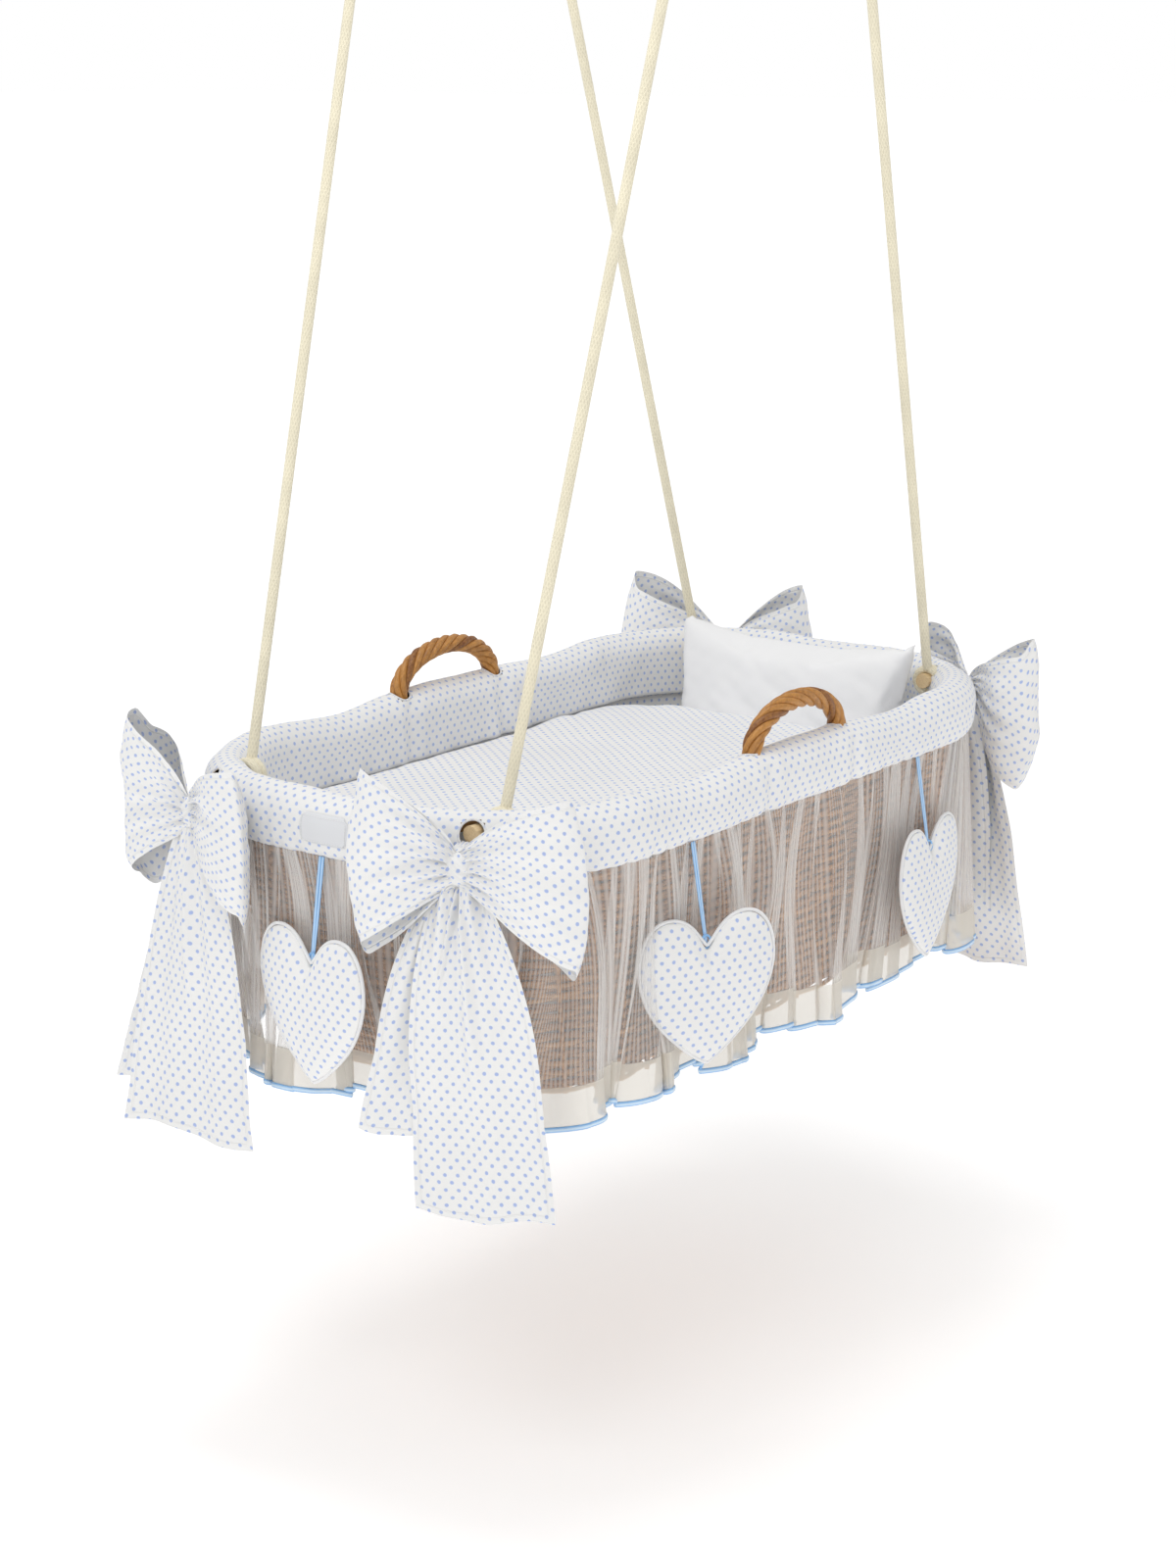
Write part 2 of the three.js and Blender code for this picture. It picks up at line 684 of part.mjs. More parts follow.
// The loop that the cloth hangs on at one share down: under the cover's edge, and
// clear of the wall where the wall is wider there
function skirtLoop(down) {
  const radius = coverRadius - skirtInset - (skirtHemInset - skirtInset) * down;
  const hanging = rimLoop(radius, 0);
  const clear = skirtFold(down) + skirtPress * down + skirtThickness;
  const depth = coverDropOutside + (basketDepth - coverDropOutside) * down;
  const beside = wallLoop(-depth, -clear);
  return {
    ...hanging,
    halfX: Math.max(hanging.halfX, beside.halfX),
    halfY: Math.max(hanging.halfY, beside.halfY),
  };
}

// The cloth's middle at one share round and one share down
function skirtPoint(share, down) {
  const p = pointAround(skirtLoop(down), share);
  const turn = 2 * Math.PI * share;
  const fold = skirtFold(down);
  const drift = skirtDriftShare * Math.sin(skirtDrifts * turn);
  const wave = Math.cos(skirtFolds * turn + drift);
  let press = 0;
  heartPlaces.forEach((heart) => {
    const facing = p.nx * heart.out[0] + p.ny * heart.out[1];
    const along = heart.out[0] ? p.y : p.x - heartX(heart);
    if (facing > 0.9) press += skirtPress * down * Math.exp(-((along / skirtPressSpread) ** 2));
  });
  const offset = fold * wave * (1 - press / (skirtPress * 2)) - press;
  const foot = -skirtDrop + skirtHemWave * Math.sin(skirtHemWaves * turn);
  const top = -coverDropOutside - seatGap;
  return { x: p.x, y: p.y, nx: p.nx, ny: p.ny, offset, z: top + (foot - top) * down };
}

function bandGeometry(stations, rows, thickness) {
  const section = [...rows.map((row) => [row, 1]), ...[...rows].reverse().map((row) => [row, -1])];
  const points = [];
  for (let i = 0; i < stations; i += 1) {
    section.forEach(([row, side]) => {
      const p = skirtPoint(i / stations, row.down);
      const reach = p.offset + (side * thickness) / 2;
      points.push([p.x + p.nx * reach, p.y + p.ny * reach, level(p.z - row.below)]);
    });
  }
  const faces = [];
  const count = section.length;
  for (let i = 0; i < stations; i += 1) {
    const k = (i + 1) % stations;
    for (let j = 0; j < count; j += 1) {
      const m = (j + 1) % count;
      faces.push(quad(i * count + j, k * count + j, k * count + m, i * count + m));
    }
  }
  return closedMesh(points, faces);
}

const skirtRows = [1, 0.5, 0].map((down) => ({ down, below: 0 }));
const bindingRows = [bindingGap + bindingHeight, bindingGap].map((below) => ({ down: 1, below }));

// Hearts
const heartHalfShares = [
  [0, 0.37], [0.16, 0.46], [0.4, 0.5], [0.68, 0.47], [0.9, 0.34], [1, 0.14],
  [0.95, -0.04], [0.76, -0.22], [0.48, -0.38], [0.2, -0.48],
];
const heartPadShares = [[1, 0.25], [0.8, 0.82], [0, 1]];
const heartNotchShare = heartHalfShares[0][1];

function heartGeometry() {
  const right = heartHalfShares.map(([x, y]) => [(x * heartWidth) / 2, y * heartHeight]);
  const left = right.slice(1).map(([x, y]) => [-x, y]);
  const outline = [...right.reverse(), ...left, [0, -heartHeight / 2]];
  const notch = heartNotchShare * heartHeight;
  return padGeometry(outline, [0, 0], heartThickness / 2, heartPadShares)
    .translate(0, -notch, 0);
}

function heartFrame(heart) {
  const rim = rimLoop(coverRadius, 0);
  const hem = skirtLoop(1);
  const at = (loop, beyond) => [
    heart.out[0] ? heart.out[0] * (loop.halfX + beyond) : heartX(heart),
    heart.out[1] ? heart.out[1] * (loop.halfY + beyond) : 0,
  ];
  const top = new THREE.Vector3(...at(rim, -ribbonInset), level(-coverDropOutside - seatGap));
  const notch = new THREE.Vector3(...at(hem, heartStandOff), level(-heartNotchDepth));
  return { top, notch };
}

function placedHeart(heart) {
  const { notch } = heartFrame(heart);
  const yaw = THREE.MathUtils.degToRad(heart.yaw);
  const [x, y] = heart.out;
  const out = [x * Math.cos(yaw) - y * Math.sin(yaw), x * Math.sin(yaw) + y * Math.cos(yaw)];
  return faceOutwards(heartGeometry(), notch.toArray(), out);
}

function ribbonGeometry(heart) {
  const { top, notch } = heartFrame(heart);
  const run = notch.clone().sub(top);
  const length = run.length() - ribbonEndGap;
  // It swings on the outer edge of its sewn end, so it never lifts into the cover
  const ribbon = new THREE.BoxGeometry(ribbonWidth, length, ribbonThickness)
    .translate(0, -length / 2, -ribbonThickness / 2);
  const out = new THREE.Vector3(heart.out[0], heart.out[1], 0);
  const up = run.normalize().negate();
  const side = new THREE.Vector3().crossVectors(up, out).normalize();
  const front = new THREE.Vector3().crossVectors(side, up);
  const turn = new THREE.Matrix4().makeBasis(side, up, front).setPosition(top);
  return ribbon.applyMatrix4(turn);
}

// Bows. Each is one sash: two loops, a knot and two tails, all hanging proud of
// the cover. Sideways is x here, and +x is away from the cradle's middle
const bowLoopShares = [
  [0.02, 0.1], [0.3, 0.26], [0.62, 0.4], [0.84, 0.42], [0.97, 0.24], [1, -0.04],
  [0.97, -0.36], [0.9, -0.58], [0.74, -0.52], [0.4, -0.28], [0.02, -0.1],
];
const bowPadShares = [[1, 0.17], [0.7, 0.88], [0, 1]];
const bowCrownShares = [0.6, -0.06]; // the fullest place of a loop, along and up
const bowShortLiftShare = 0.06; // the short loop sits higher

function bowLoopGeometry(length, lift) {
  const outline = bowLoopShares.map(([x, y]) => [x * Math.abs(length), (y + lift) * bowLoopHeight]);
  outline.reverse();
  const middle = [
    Math.abs(length) * bowCrownShares[0], (lift + bowCrownShares[1]) * bowLoopHeight,
  ];
  const loop = padGeometry(outline, middle, bowLoopThickness / 2, bowPadShares);
  loop.translate(0, 0, bowLoopForward);
  return length > 0 ? loop : mirrored(loop);
}

function mirrored(geometry) {
  const copy = geometry.clone();
  copy.scale(-1, 1, 1);
  const index = copy.index.array;
  for (let i = 0; i < index.length; i += 3) {
    [index[i], index[i + 1]] = [index[i + 1], index[i]];
  }
  return copy;
}

// One hanging tail, from the knot at y = 0 down to its cut end
function tailGeometry(length, endMiddle, offset) {
  const columns = 7;
  const rows = 3;
  const points = [];
  const at = (i, j, side) => {
    const down = j / rows;
    const across = i / columns - 0.5;
    const width = tailWidthTop + (tailWidthEnd - tailWidthTop) * Math.sin((Math.PI / 2) * down);
    const pleat = tailPleat * Math.sin(2 * Math.PI * tailPleats * across) * Math.sqrt(down);
    return [
      endMiddle * down + across * width,
      -length * down,
      offset + pleat + (side * tailThickness) / 2,
    ];
  };
  for (const side of [1, -1]) {
    for (let j = 0; j <= rows; j += 1) {
      for (let i = 0; i <= columns; i += 1) points.push(at(i, j, side));
    }
  }
  const wide = columns + 1;
  const back = wide * (rows + 1);
  const faces = [];
  for (let j = 0; j < rows; j += 1) {
    for (let i = 0; i < columns; i += 1) {
      const a = j * wide + i;
      faces.push(quad(a, a + wide, a + wide + 1, a + 1));
      faces.push(quad(back + a, back + a + 1, back + a + wide + 1, back + a + wide));
    }
    const l = j * wide;
    const r = l + columns;
    faces.push(quad(l, back + l, back + l + wide, l + wide));
    faces.push(quad(r, r + wide, back + r + wide, back + r));
  }
  for (let i = 0; i < columns; i += 1) {
    const b = rows * wide + i;
    faces.push(quad(i, i + 1, back + i + 1, back + i));
    faces.push(quad(b, back + b, back + b + 1, b + 1));
  }
  return closedMesh(points, faces);
}

function bowGeometry(corner) {
  const angle = THREE.MathUtils.degToRad(bowAngle);
  const facing = THREE.MathUtils.degToRad(bowFacing);
  const coverFacet = coverRadius * Math.cos(Math.PI / 4 / shellSteps.turnSteps);
  const reach = coverFacet + bowSeatGap + bowKnotThickness / 2;
  const place = [
    corner.x * (cornerX + reach * Math.cos(angle)),
    corner.y * (cornerY + reach * Math.sin(angle)),
    level(-bowDepth),
  ];
  const knot = new THREE.SphereGeometry(0.5, 9, 6)
    .scale(bowKnotWidth, bowKnotHeight, bowKnotThickness);
  const bow = joined(
    bowLoopGeometry(bowLoopLong, 0),
    bowLoopGeometry(-bowLoopShort, bowShortLiftShare),
    knot,
    tailGeometry(tailDepth - bowDepth, tailSpread, tailOffset / 2),
    tailGeometry(tailDepthBack - bowDepth, tailSpreadBack, -tailOffset / 2),
  );
  // +x points away from the middle on the side where x and y have unlike signs
  const turned = corner.x * corner.y > 0 ? bow : mirrored(bow);
  return faceOutwards(turned, place, [corner.x * Math.cos(facing), corner.y * Math.sin(facing)]);
}

// Bedding
const mattressFoot = -basketDepth + baseThickness + seatGap;
const mattressTop = mattressFoot + mattressThickness;
const quiltMiddle = mattressTop + seatGap + quiltThickness / 2;
const besideQuilt = wallLoop(quiltMiddle, wallThickness + 2 * seatGap + linerThickness);
const quiltFootX = quiltEndGap - besideQuilt.halfX;
const quiltHeadX = pillowX - quiltUnderPillow;

function linerGeometry() {
  const outside = wallThickness + 2 * seatGap;
  const inside = outside + linerThickness;
  const top = -coverDropInside - seatGap;
  return ringGeometry([
    wallLoop(mattressFoot, outside),
    wallLoop(top, outside),
    wallLoop(top, inside),
    wallLoop(mattressFoot, inside),
  ], shellSteps);
}

function mattressGeometry() {
  const round = mattressRounding;
  const shape = plateShape(
    baseLength - 2 * (mattressEndIn + round),
    baseWidth - 2 * (mattressSideIn + round),
    baseCornerRadius - round,
  );
  const block = new THREE.ExtrudeGeometry(shape, {
    depth: mattressThickness - 2 * round,
    bevelThickness: round,
    bevelSize: round,
    bevelSegments: 2,
    curveSegments: 4,
  });
  return block.translate(0, 0, level(mattressFoot + round));
}

const quiltPadShares = [[1, 0.3], [0.985, 0.62], [0.93, 0.84], [0.75, 0.96], [0, 1]];

function quiltGeometry() {
  const half = (quiltHeadX - quiltFootX) / 2;
  const outline = roundedOutline(
    { halfX: half, halfY: besideQuilt.halfY - quiltSideGap, radius: quiltCorner },
    { endSteps: 2, sideSteps: 5, turnSteps: 7 },
  ).map((p) => [p.x, p.y]);
  return padGeometry(outline, [0, 0], quiltThickness / 2, quiltPadShares)
    .translate((quiltHeadX + quiltFootX) / 2, 0, level(quiltMiddle));
}

// A pillow: full in the middle and thin to its corners, with its sides and its
// top drawn in between the corners. It stands on its lower edge, which is straight
const pillowFullShare = 0.42;

function pillowGeometry() {
  const columns = 10;
  const rows = 7;
  const halfX = pillowWidth / 2;
  const halfZ = pillowHeight / 2;
  const points = [];
  const numbers = new Map();
  const number = (i, j, side) => {
    const u = (2 * i) / columns - 1;
    const v = (2 * j) / rows - 1;
    const rim = i === 0 || j === 0 || i === columns || j === rows;
    const key = `${i} ${j} ${rim ? 0 : side}`;
    if (!numbers.has(key)) {
      const puff = ((1 - u * u) * (1 - v * v)) ** pillowFullShare;
      const drawSide = pillowDrawIn * (1 - v * v);
      const drawTop = pillowDrawIn * (1 - u * u) * Math.max(v, 0);
      numbers.set(key, points.length);
      points.push([
        side * (pillowThickness / 2) * puff,
        u * (halfX - drawSide),
        v * halfZ - drawTop,
      ]);
    }
    return numbers.get(key);
  };
  const faces = [];
  for (let i = 0; i < columns; i += 1) {
    for (let j = 0; j < rows; j += 1) {
      signs.forEach((side) => {
        const face = [
          number(i, j, side), number(i + 1, j, side),
          number(i + 1, j + 1, side), number(i, j + 1, side),
        ];
        faces.push(side > 0 ? quad(...face) : quad(...face.reverse()));
      });
    }
  }
  const lean = THREE.MathUtils.degToRad(pillowLean);
  const middle = mattressTop + seatGap + halfZ * Math.cos(lean);
  return closedMesh(points, faces).rotateY(lean).translate(pillowX, 0, level(middle));
}

function patchGeometry() {
  const faceX = cornerX + seatGap;
  const rows = [
    coverShoulder(patchTopStep), coverShoulder(1), coverShoulder(0), [coverRadius, patchFoot],
  ];
  const shape = new THREE.Shape();
  rows.forEach(([radius, z], i) => shape[i ? 'lineTo' : 'moveTo'](faceX + radius, z));
  [...rows].reverse().forEach(([radius, z]) => shape.lineTo(faceX + radius + patchThickness, z));
  const patch = new THREE.ExtrudeGeometry(shape, { depth: patchWidth, bevelEnabled: false });
  return patch.rotateX(Math.PI / 2).rotateZ(Math.PI)
    .translate(0, patchY - patchWidth / 2, -hang);
}

// The assembly
const border = cut(borderGeometry(), ...corners.map((corner) =>
  pegGeometry(corner, pegRadius + seatGap, pegInnerX, pegOuterX + overrun)));
addPiece('wicker_wall', wallGeometry(), willow);
addPiece('wicker_border', border, willow);
addPiece('wicker_base', floorGeometry(), willow);
addPiece('rim_cover', coverGeometry(), dotted);
addPiece('inner_liner', linerGeometry(), dotted);
addPiece('skirt', bandGeometry(skirtFolds * 6, skirtRows, skirtThickness), sheer);
addPiece('skirt_binding', bandGeometry(skirtFolds * 4, bindingRows, bindingThickness), satin);
addPiece('bare_patch', patchGeometry(), plainCotton);
addPiece('mattress', mattressGeometry(), plainCotton);
addPiece('quilt', quiltGeometry(), dotted);
addPiece('pillow', pillowGeometry(), plainCotton);
signs.forEach((side) => {
  const name = side > 0 ? 'handle_left' : 'handle_right';
  addPiece(name, handleGeometry(side, handleDiameter / 2), willow);
});
corners.forEach((corner) => {
  addPiece(`ceiling_plate_${corner.name}`, ceilingPlateGeometry(corner), steel);
  addPiece(`ring_${corner.name}`, ringLinkGeometry(corner), steel);
  addPiece(`rope_eye_${corner.name}`, ropeEyeGeometry(corner), cotton);
  addPiece(`rope_${corner.name}`, ropeGeometry(corner), cotton);
  addPiece(`lower_knot_${corner.name}`, lowerKnotGeometry(corner), cotton);
  addPiece(`peg_${corner.name}`, pegGeometry(corner, pegRadius, pegInnerX, pegOuterX), stripped);
  addPiece(`bow_${corner.name}`, bowGeometry(corner), dotted);
});
heartPlaces.forEach((heart) => {
  addPiece(`ribbon_${heart.name}`, ribbonGeometry(heart), satin);
  addPiece(`heart_${heart.name}`, placedHeart(heart), dotted);
});

export default cradle;
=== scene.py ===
# %% [markdown]
# # A hanging wicker cradle
#
# The cradle is a wicker basket on four cotton ropes. A padded, dotted cover sits over
# its rim, and a sheer skirt, hearts and bows hang from that cover. This lesson dresses
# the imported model, which gives every size and place, with the cloth, weave and rope
# that it lacks. Metres throughout, +Z up, and the origin is on the ceiling.

# %% Load the frame
import json
import math

import bmesh
import bpy
import numpy as np
from mathutils import Matrix, Vector

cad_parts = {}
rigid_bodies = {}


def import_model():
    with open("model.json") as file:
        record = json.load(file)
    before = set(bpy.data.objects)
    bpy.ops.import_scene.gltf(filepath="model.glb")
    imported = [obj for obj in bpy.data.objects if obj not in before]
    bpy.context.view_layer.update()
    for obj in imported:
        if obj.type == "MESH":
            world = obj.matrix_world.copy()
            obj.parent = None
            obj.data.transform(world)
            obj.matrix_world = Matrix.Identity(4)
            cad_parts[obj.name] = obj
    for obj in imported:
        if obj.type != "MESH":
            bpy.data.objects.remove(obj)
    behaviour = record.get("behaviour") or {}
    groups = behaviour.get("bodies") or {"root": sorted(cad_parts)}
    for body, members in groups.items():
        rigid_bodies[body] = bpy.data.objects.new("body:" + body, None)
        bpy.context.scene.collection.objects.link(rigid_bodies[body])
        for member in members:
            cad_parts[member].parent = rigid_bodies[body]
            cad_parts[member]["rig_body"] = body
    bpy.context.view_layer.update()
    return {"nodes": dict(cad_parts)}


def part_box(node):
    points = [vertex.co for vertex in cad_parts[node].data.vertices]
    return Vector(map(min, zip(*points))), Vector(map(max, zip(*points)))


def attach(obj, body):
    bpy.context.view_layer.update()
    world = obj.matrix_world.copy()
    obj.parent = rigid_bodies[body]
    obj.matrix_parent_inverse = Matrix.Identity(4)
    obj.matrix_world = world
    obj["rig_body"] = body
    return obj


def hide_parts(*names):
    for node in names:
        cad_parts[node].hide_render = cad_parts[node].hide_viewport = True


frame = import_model()

# %% [markdown]
# ## A short way to add things
#
# Materials, node groups and the light all need nodes with a few sockets set, so one
# helper adds a node and the others name what it is most often used for.

# %% Things and nodes
def link(name, data):
    thing = bpy.data.objects.new(name, data)
    bpy.context.scene.collection.objects.link(thing)
    return thing


def node(tree, kind, settings=None, sockets=None):
    """Adds a node; a socket's value is either a number or another node's output."""
    made = tree.nodes.new(kind)
    for key, value in (settings or {}).items():
        setattr(made, key, value)
    for key, value in (sockets or {}).items():
        if isinstance(value, bpy.types.NodeSocket):
            tree.links.new(value, made.inputs[key])
        else:
            made.inputs[key].default_value = value
    return made


def maths(tree, operation, *values):
    return node(tree, "ShaderNodeMath", {"operation": operation},
                dict(enumerate(values))).outputs[0]


def vector_maths(tree, operation, *values):
    made = node(tree, "ShaderNodeVectorMath", {"operation": operation},
                dict(enumerate(values)))
    return made.outputs["Value" if operation in ("LENGTH", "DOT_PRODUCT") else "Vector"]


def scaled(tree, vector, scale):
    return node(tree, "ShaderNodeVectorMath", {"operation": "SCALE"},
                {0: vector, "Scale": scale}).outputs[0]


def remap(tree, value, low=0.0, high=1.0, to_low=0.0, to_high=1.0, smooth=False):
    """Draws the range from low to high out to the other one."""
    return node(tree, "ShaderNodeMapRange",
                {"interpolation_type": "SMOOTHSTEP"} if smooth else None,
                {"Value": value, "From Min": low, "From Max": high, "To Min": to_low,
                 "To Max": to_high}).outputs[0]


def blend_colours(tree, share, low, high):
    return node(tree, "ShaderNodeMix", {"data_type": "RGBA"},
                {0: share, 6: low, 7: high}).outputs[2]


def object_place(tree):
    return node(tree, "ShaderNodeTexCoord").outputs["Object"]


def attribute(tree, name):
    return node(tree, "ShaderNodeAttribute", {"attribute_name": name}).outputs["Fac"]


def start_finish(name, roughness, sheen=0.0):
    """A material, its node tree and its shader, with the plain numbers set."""
    finish = bpy.data.materials.new(name)
    finish.use_nodes = True
    tree = finish.node_tree
    shader = tree.nodes["Principled BSDF"]
    shader.inputs["Roughness"].default_value = roughness
    shader.inputs["Sheen Weight"].default_value = sheen
    return finish, tree, shader


# %% [markdown]
# ## Camera, floor and light
#
# The camera stands low, off the foot end, and looks along the cradle. Its place was
# fitted to the ropes, the rim and the hem together. The floor lies below the view of
# the cradle, so that only its soft shadow shows.

# %% Camera
AZIMUTH = math.radians(-53.39)
ELEVATION = math.radians(14.398)
DISTANCE = 2.60931
TARGET = Vector((-0.24268, -0.14978, -0.807))
LENS = 66.18

back = Vector((
    math.sin(AZIMUTH) * math.cos(ELEVATION),
    -math.cos(AZIMUTH) * math.cos(ELEVATION),
    math.sin(ELEVATION),
))
camera_data = bpy.data.cameras.new("camera")
camera_data.lens = LENS
camera = link("camera", camera_data)
camera.location = TARGET + back * DISTANCE
camera.rotation_mode = "QUATERNION"
camera.rotation_quaternion = (-back).to_track_quat("-Z", "Y")
bpy.context.scene.camera = camera

# %% Floor and light
FLOOR_HEIGHT = -1.47
FLOOR_REACH = 60.0
FLOOR_WHITE = (0.93, 0.93, 0.93, 1)
GLOW_FROM, GLOW_TO = (1.2, 5.0), (0.34, 0.55)  # distances in metres, and strengths
SKY_STRENGTH = 0.62  # for all but the camera, which sees a plain white
WHITE = (1, 1, 1, 1)
LIGHT_AIM = Vector((0, 0, -0.9))
bpy.context.scene.view_settings.view_transform = "Standard"


def make_floor():
    """A white floor that glows more with distance, so that no horizon shows."""
    corners = [(x * FLOOR_REACH, y * FLOOR_REACH, FLOOR_HEIGHT)
               for x, y in ((-1, -1), (1, -1), (1, 1), (-1, 1))]
    mesh = bpy.data.meshes.new("floor")
    mesh.from_pydata(corners, [], [(0, 1, 2, 3)])
    finish, tree, shader = start_finish("floor_white", 1.0)
    shader.inputs["Base Color"].default_value = FLOOR_WHITE
    shader.inputs["Specular IOR Level"].default_value = 0
    shader.inputs["Emission Color"].default_value = WHITE
    reach = vector_maths(tree, "LENGTH", object_place(tree))
    glow = remap(tree, reach, *GLOW_FROM, *GLOW_TO)
    tree.links.new(glow, shader.inputs["Emission Strength"])
    mesh.materials.append(finish)
    floor = link("floor", mesh)


def make_light(name, place, size, power):
    lamp = bpy.data.lights.new(name, "AREA")
    lamp.shape = "DISK"
    lamp.size = size
    lamp.energy = power
    holder = link(name, lamp)
    holder.location = place
    holder.rotation_mode = "QUATERNION"
    holder.rotation_quaternion = (LIGHT_AIM - Vector(place)).to_track_quat("-Z", "Y")


def make_sky():
    world = bpy.data.worlds.new("studio")
    world.use_nodes = True
    tree = world.node_tree
    sky = tree.nodes["Background"].inputs
    sky["Color"].default_value = WHITE
    seen = node(tree, "ShaderNodeLightPath").outputs["Is Camera Ray"]
    tree.links.new(remap(tree, seen, to_low=SKY_STRENGTH), sky["Strength"])
    bpy.context.scene.world = world


make_floor()
make_light("overhead", (-0.3, 0.2, 2.2), 1.2, 26)
make_light("key", (-2.2, -0.8, 1.1), 1.2, 14)
make_sky()

# %% [markdown]
# ## The path round the rim
#
# Nearly everything here follows the rim: the weave, the cover, the skirt and its
# binding. The rim is a rounded rectangle, so one function gives the point that lies
# some way round it and some way out. The corner circles keep their centres, and only
# their radius changes, so the same function serves a weaver and a hem.

# %% Points round the rim
RIM_CORNER = 0.162  # outside of the wicker
COVER_PAD = 0.018  # how far the cover bulges beyond the wicker
rim_low, rim_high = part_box("wicker_wall")
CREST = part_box("rim_cover")[1].z
CORE_X = rim_high.x - RIM_CORNER
CORE_Y = rim_high.y - RIM_CORNER
COVER_RADIUS = RIM_CORNER + COVER_PAD
QUARTER = math.pi / 2 * COVER_RADIUS
STOPS = np.cumsum([0, CORE_Y, QUARTER, 2 * CORE_X, QUARTER, 2 * CORE_Y, QUARTER, 2 * CORE_X,
                   QUARTER, CORE_Y])
RIM_LENGTH = STOPS[-1]
CORE_XS = np.array([1, 1, 1, -1, -1, -1, -1, 1, 1, 1]) * CORE_X
CORE_YS = np.array([0, 1, 1, 1, 1, -1, -1, -1, -1, 0]) * CORE_Y
TURNS = np.array([0, 0, 1, 1, 2, 2, 3, 3, 4, 4]) * math.pi / 2


def with_height(flat, height):
    """Points of a plan with a height, which is one number or one for each point."""
    height = np.broadcast_to(height, np.shape(flat)[:-1])
    return np.concatenate([flat, height[..., None]], -1)


def round_rim(way):
    """Core point and outward direction `way` metres round the cover's edge."""
    way = np.mod(way, RIM_LENGTH)
    angle = np.interp(way, STOPS, TURNS)
    core = np.stack([np.interp(way, STOPS, CORE_XS), np.interp(way, STOPS, CORE_YS)], -1)
    return core, np.stack([np.cos(angle), np.sin(angle)], -1)


def rim_points(way, radius, height):
    """Points round the rim; `height` is measured from the cover's crest."""
    core, out = round_rim(way)
    flat = core + out * np.asarray(radius)[..., None]
    return with_height(flat, np.asarray(height) + CREST)


def rim_circle(way):
    """The rim drawn as a circle of its own length, for noise without a seam."""
    turn = way / RIM_LENGTH * 2 * math.pi
    reach = RIM_LENGTH / (2 * math.pi)
    return np.stack([np.cos(turn) * reach, np.sin(turn) * reach], -1)


def way_at(x, y):
    """How far round the rim the point nearest to x, y lies."""
    way = np.linspace(0, RIM_LENGTH, 4001)
    core, out = round_rim(way)
    flat = core + out * COVER_RADIUS
    return way[np.argmin((flat[:, 0] - x) ** 2 + (flat[:, 1] - y) ** 2)]


print(f"the cover's edge is {RIM_LENGTH:.3f} m round")

# %% [markdown]
# ## Mesh helpers
#
# Cloth that is swept or wrapped is a grid of points. One helper turns such a grid into
# a mesh with its own UV map in metres, so that a print keeps its real scale wherever
# the cloth goes. The rest read, store and measure points.

# %% A grid of points as a mesh
def grid_mesh(name, points, uv=None, wrap=False, skip=None):
    """Mesh from rows of points; `wrap` joins the ends, `skip` marks points to leave out."""
    rows, columns = points.shape[:2]
    cells = columns if wrap else columns - 1
    i, j = np.meshgrid(np.arange(rows - 1), np.arange(cells), indexing="ij")
    i, j = i.ravel(), j.ravel()
    k = (j + 1) % columns
    if skip is not None:
        kept = ~(skip[i, j] | skip[i, k] | skip[i + 1, k] | skip[i + 1, j])
        i, j, k = i[kept], j[kept], k[kept]
    faces = np.stack([i * columns + j, i * columns + k, (i + 1) * columns + k,
                      (i + 1) * columns + j], -1)
    mesh = bpy.data.meshes.new(name)
    mesh.from_pydata(points.reshape(-1, 3).tolist(), [], faces.tolist())
    if uv is not None:
        corner = np.stack([uv[i, j], uv[i, j + 1], uv[i + 1, j + 1], uv[i + 1, j]], 1)
        mesh.uv_layers.new(name="cloth").data.foreach_set("uv", corner.reshape(-1))
    mesh.shade_smooth()
    piece = link(name, mesh)
    if skip is not None:
        drop_loose(piece)
    return piece


def edit_mesh(piece, change):
    """Runs one change on a piece's mesh as a bmesh."""
    shape = bmesh.new()
    shape.from_mesh(piece.data)
    change(shape)
    shape.to_mesh(piece.data)
    shape.free()


def drop_loose(piece):
    edit_mesh(piece, lambda shape: bmesh.ops.delete(
        shape, geom=[v for v in shape.verts if not v.link_faces], context="VERTS"))


def weld(piece, distance=1e-5):
    def change(shape):
        bmesh.ops.remove_doubles(shape, verts=shape.verts, dist=distance)
        bmesh.ops.recalc_face_normals(shape, faces=shape.faces)

    edit_mesh(piece, change)


def cap_ends(piece, sides, rings):
    """Closes a tube of rings, each with this many sides, at both ends."""
    def change(shape):
        shape.verts.ensure_lookup_table()
        for start in (0, (rings - 1) * sides):
            shape.faces.new([shape.verts[start + i] for i in range(sides)])
        bmesh.ops.recalc_face_normals(shape, faces=shape.faces)

    edit_mesh(piece, change)


def store(mesh, name, values, kind="FLOAT"):
    """Keeps a number or a vector for each point."""
    layer = mesh.attributes.new(name, kind, "POINT").data
    layer.foreach_set("vector" if kind == "FLOAT_VECTOR" else "value",
                      np.asarray(values, float).reshape(-1))


def read_points(piece):
    points = np.empty(len(piece.data.vertices) * 3)
    piece.data.vertices.foreach_get("co", points)
    return points.reshape(-1, 3)


def write_points(piece, points):
    piece.data.vertices.foreach_set("co", points.reshape(-1))
    piece.data.update()


def run_along(line):
    """How far along a line each of its points lies."""
    steps = np.linalg.norm(np.diff(line, axis=0), axis=1)
    return np.concatenate([[0], np.cumsum(steps)])


def unit(vectors):
    return vectors / np.linalg.norm(vectors, axis=-1, keepdims=True)


def round_turn(count):
    """Angles of evenly spaced points round a circle."""
    return np.linspace(0, 2 * math.pi, count, endpoint=False)


def box_middle(name):
    low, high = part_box(name)
    return np.array((low + high) / 2)


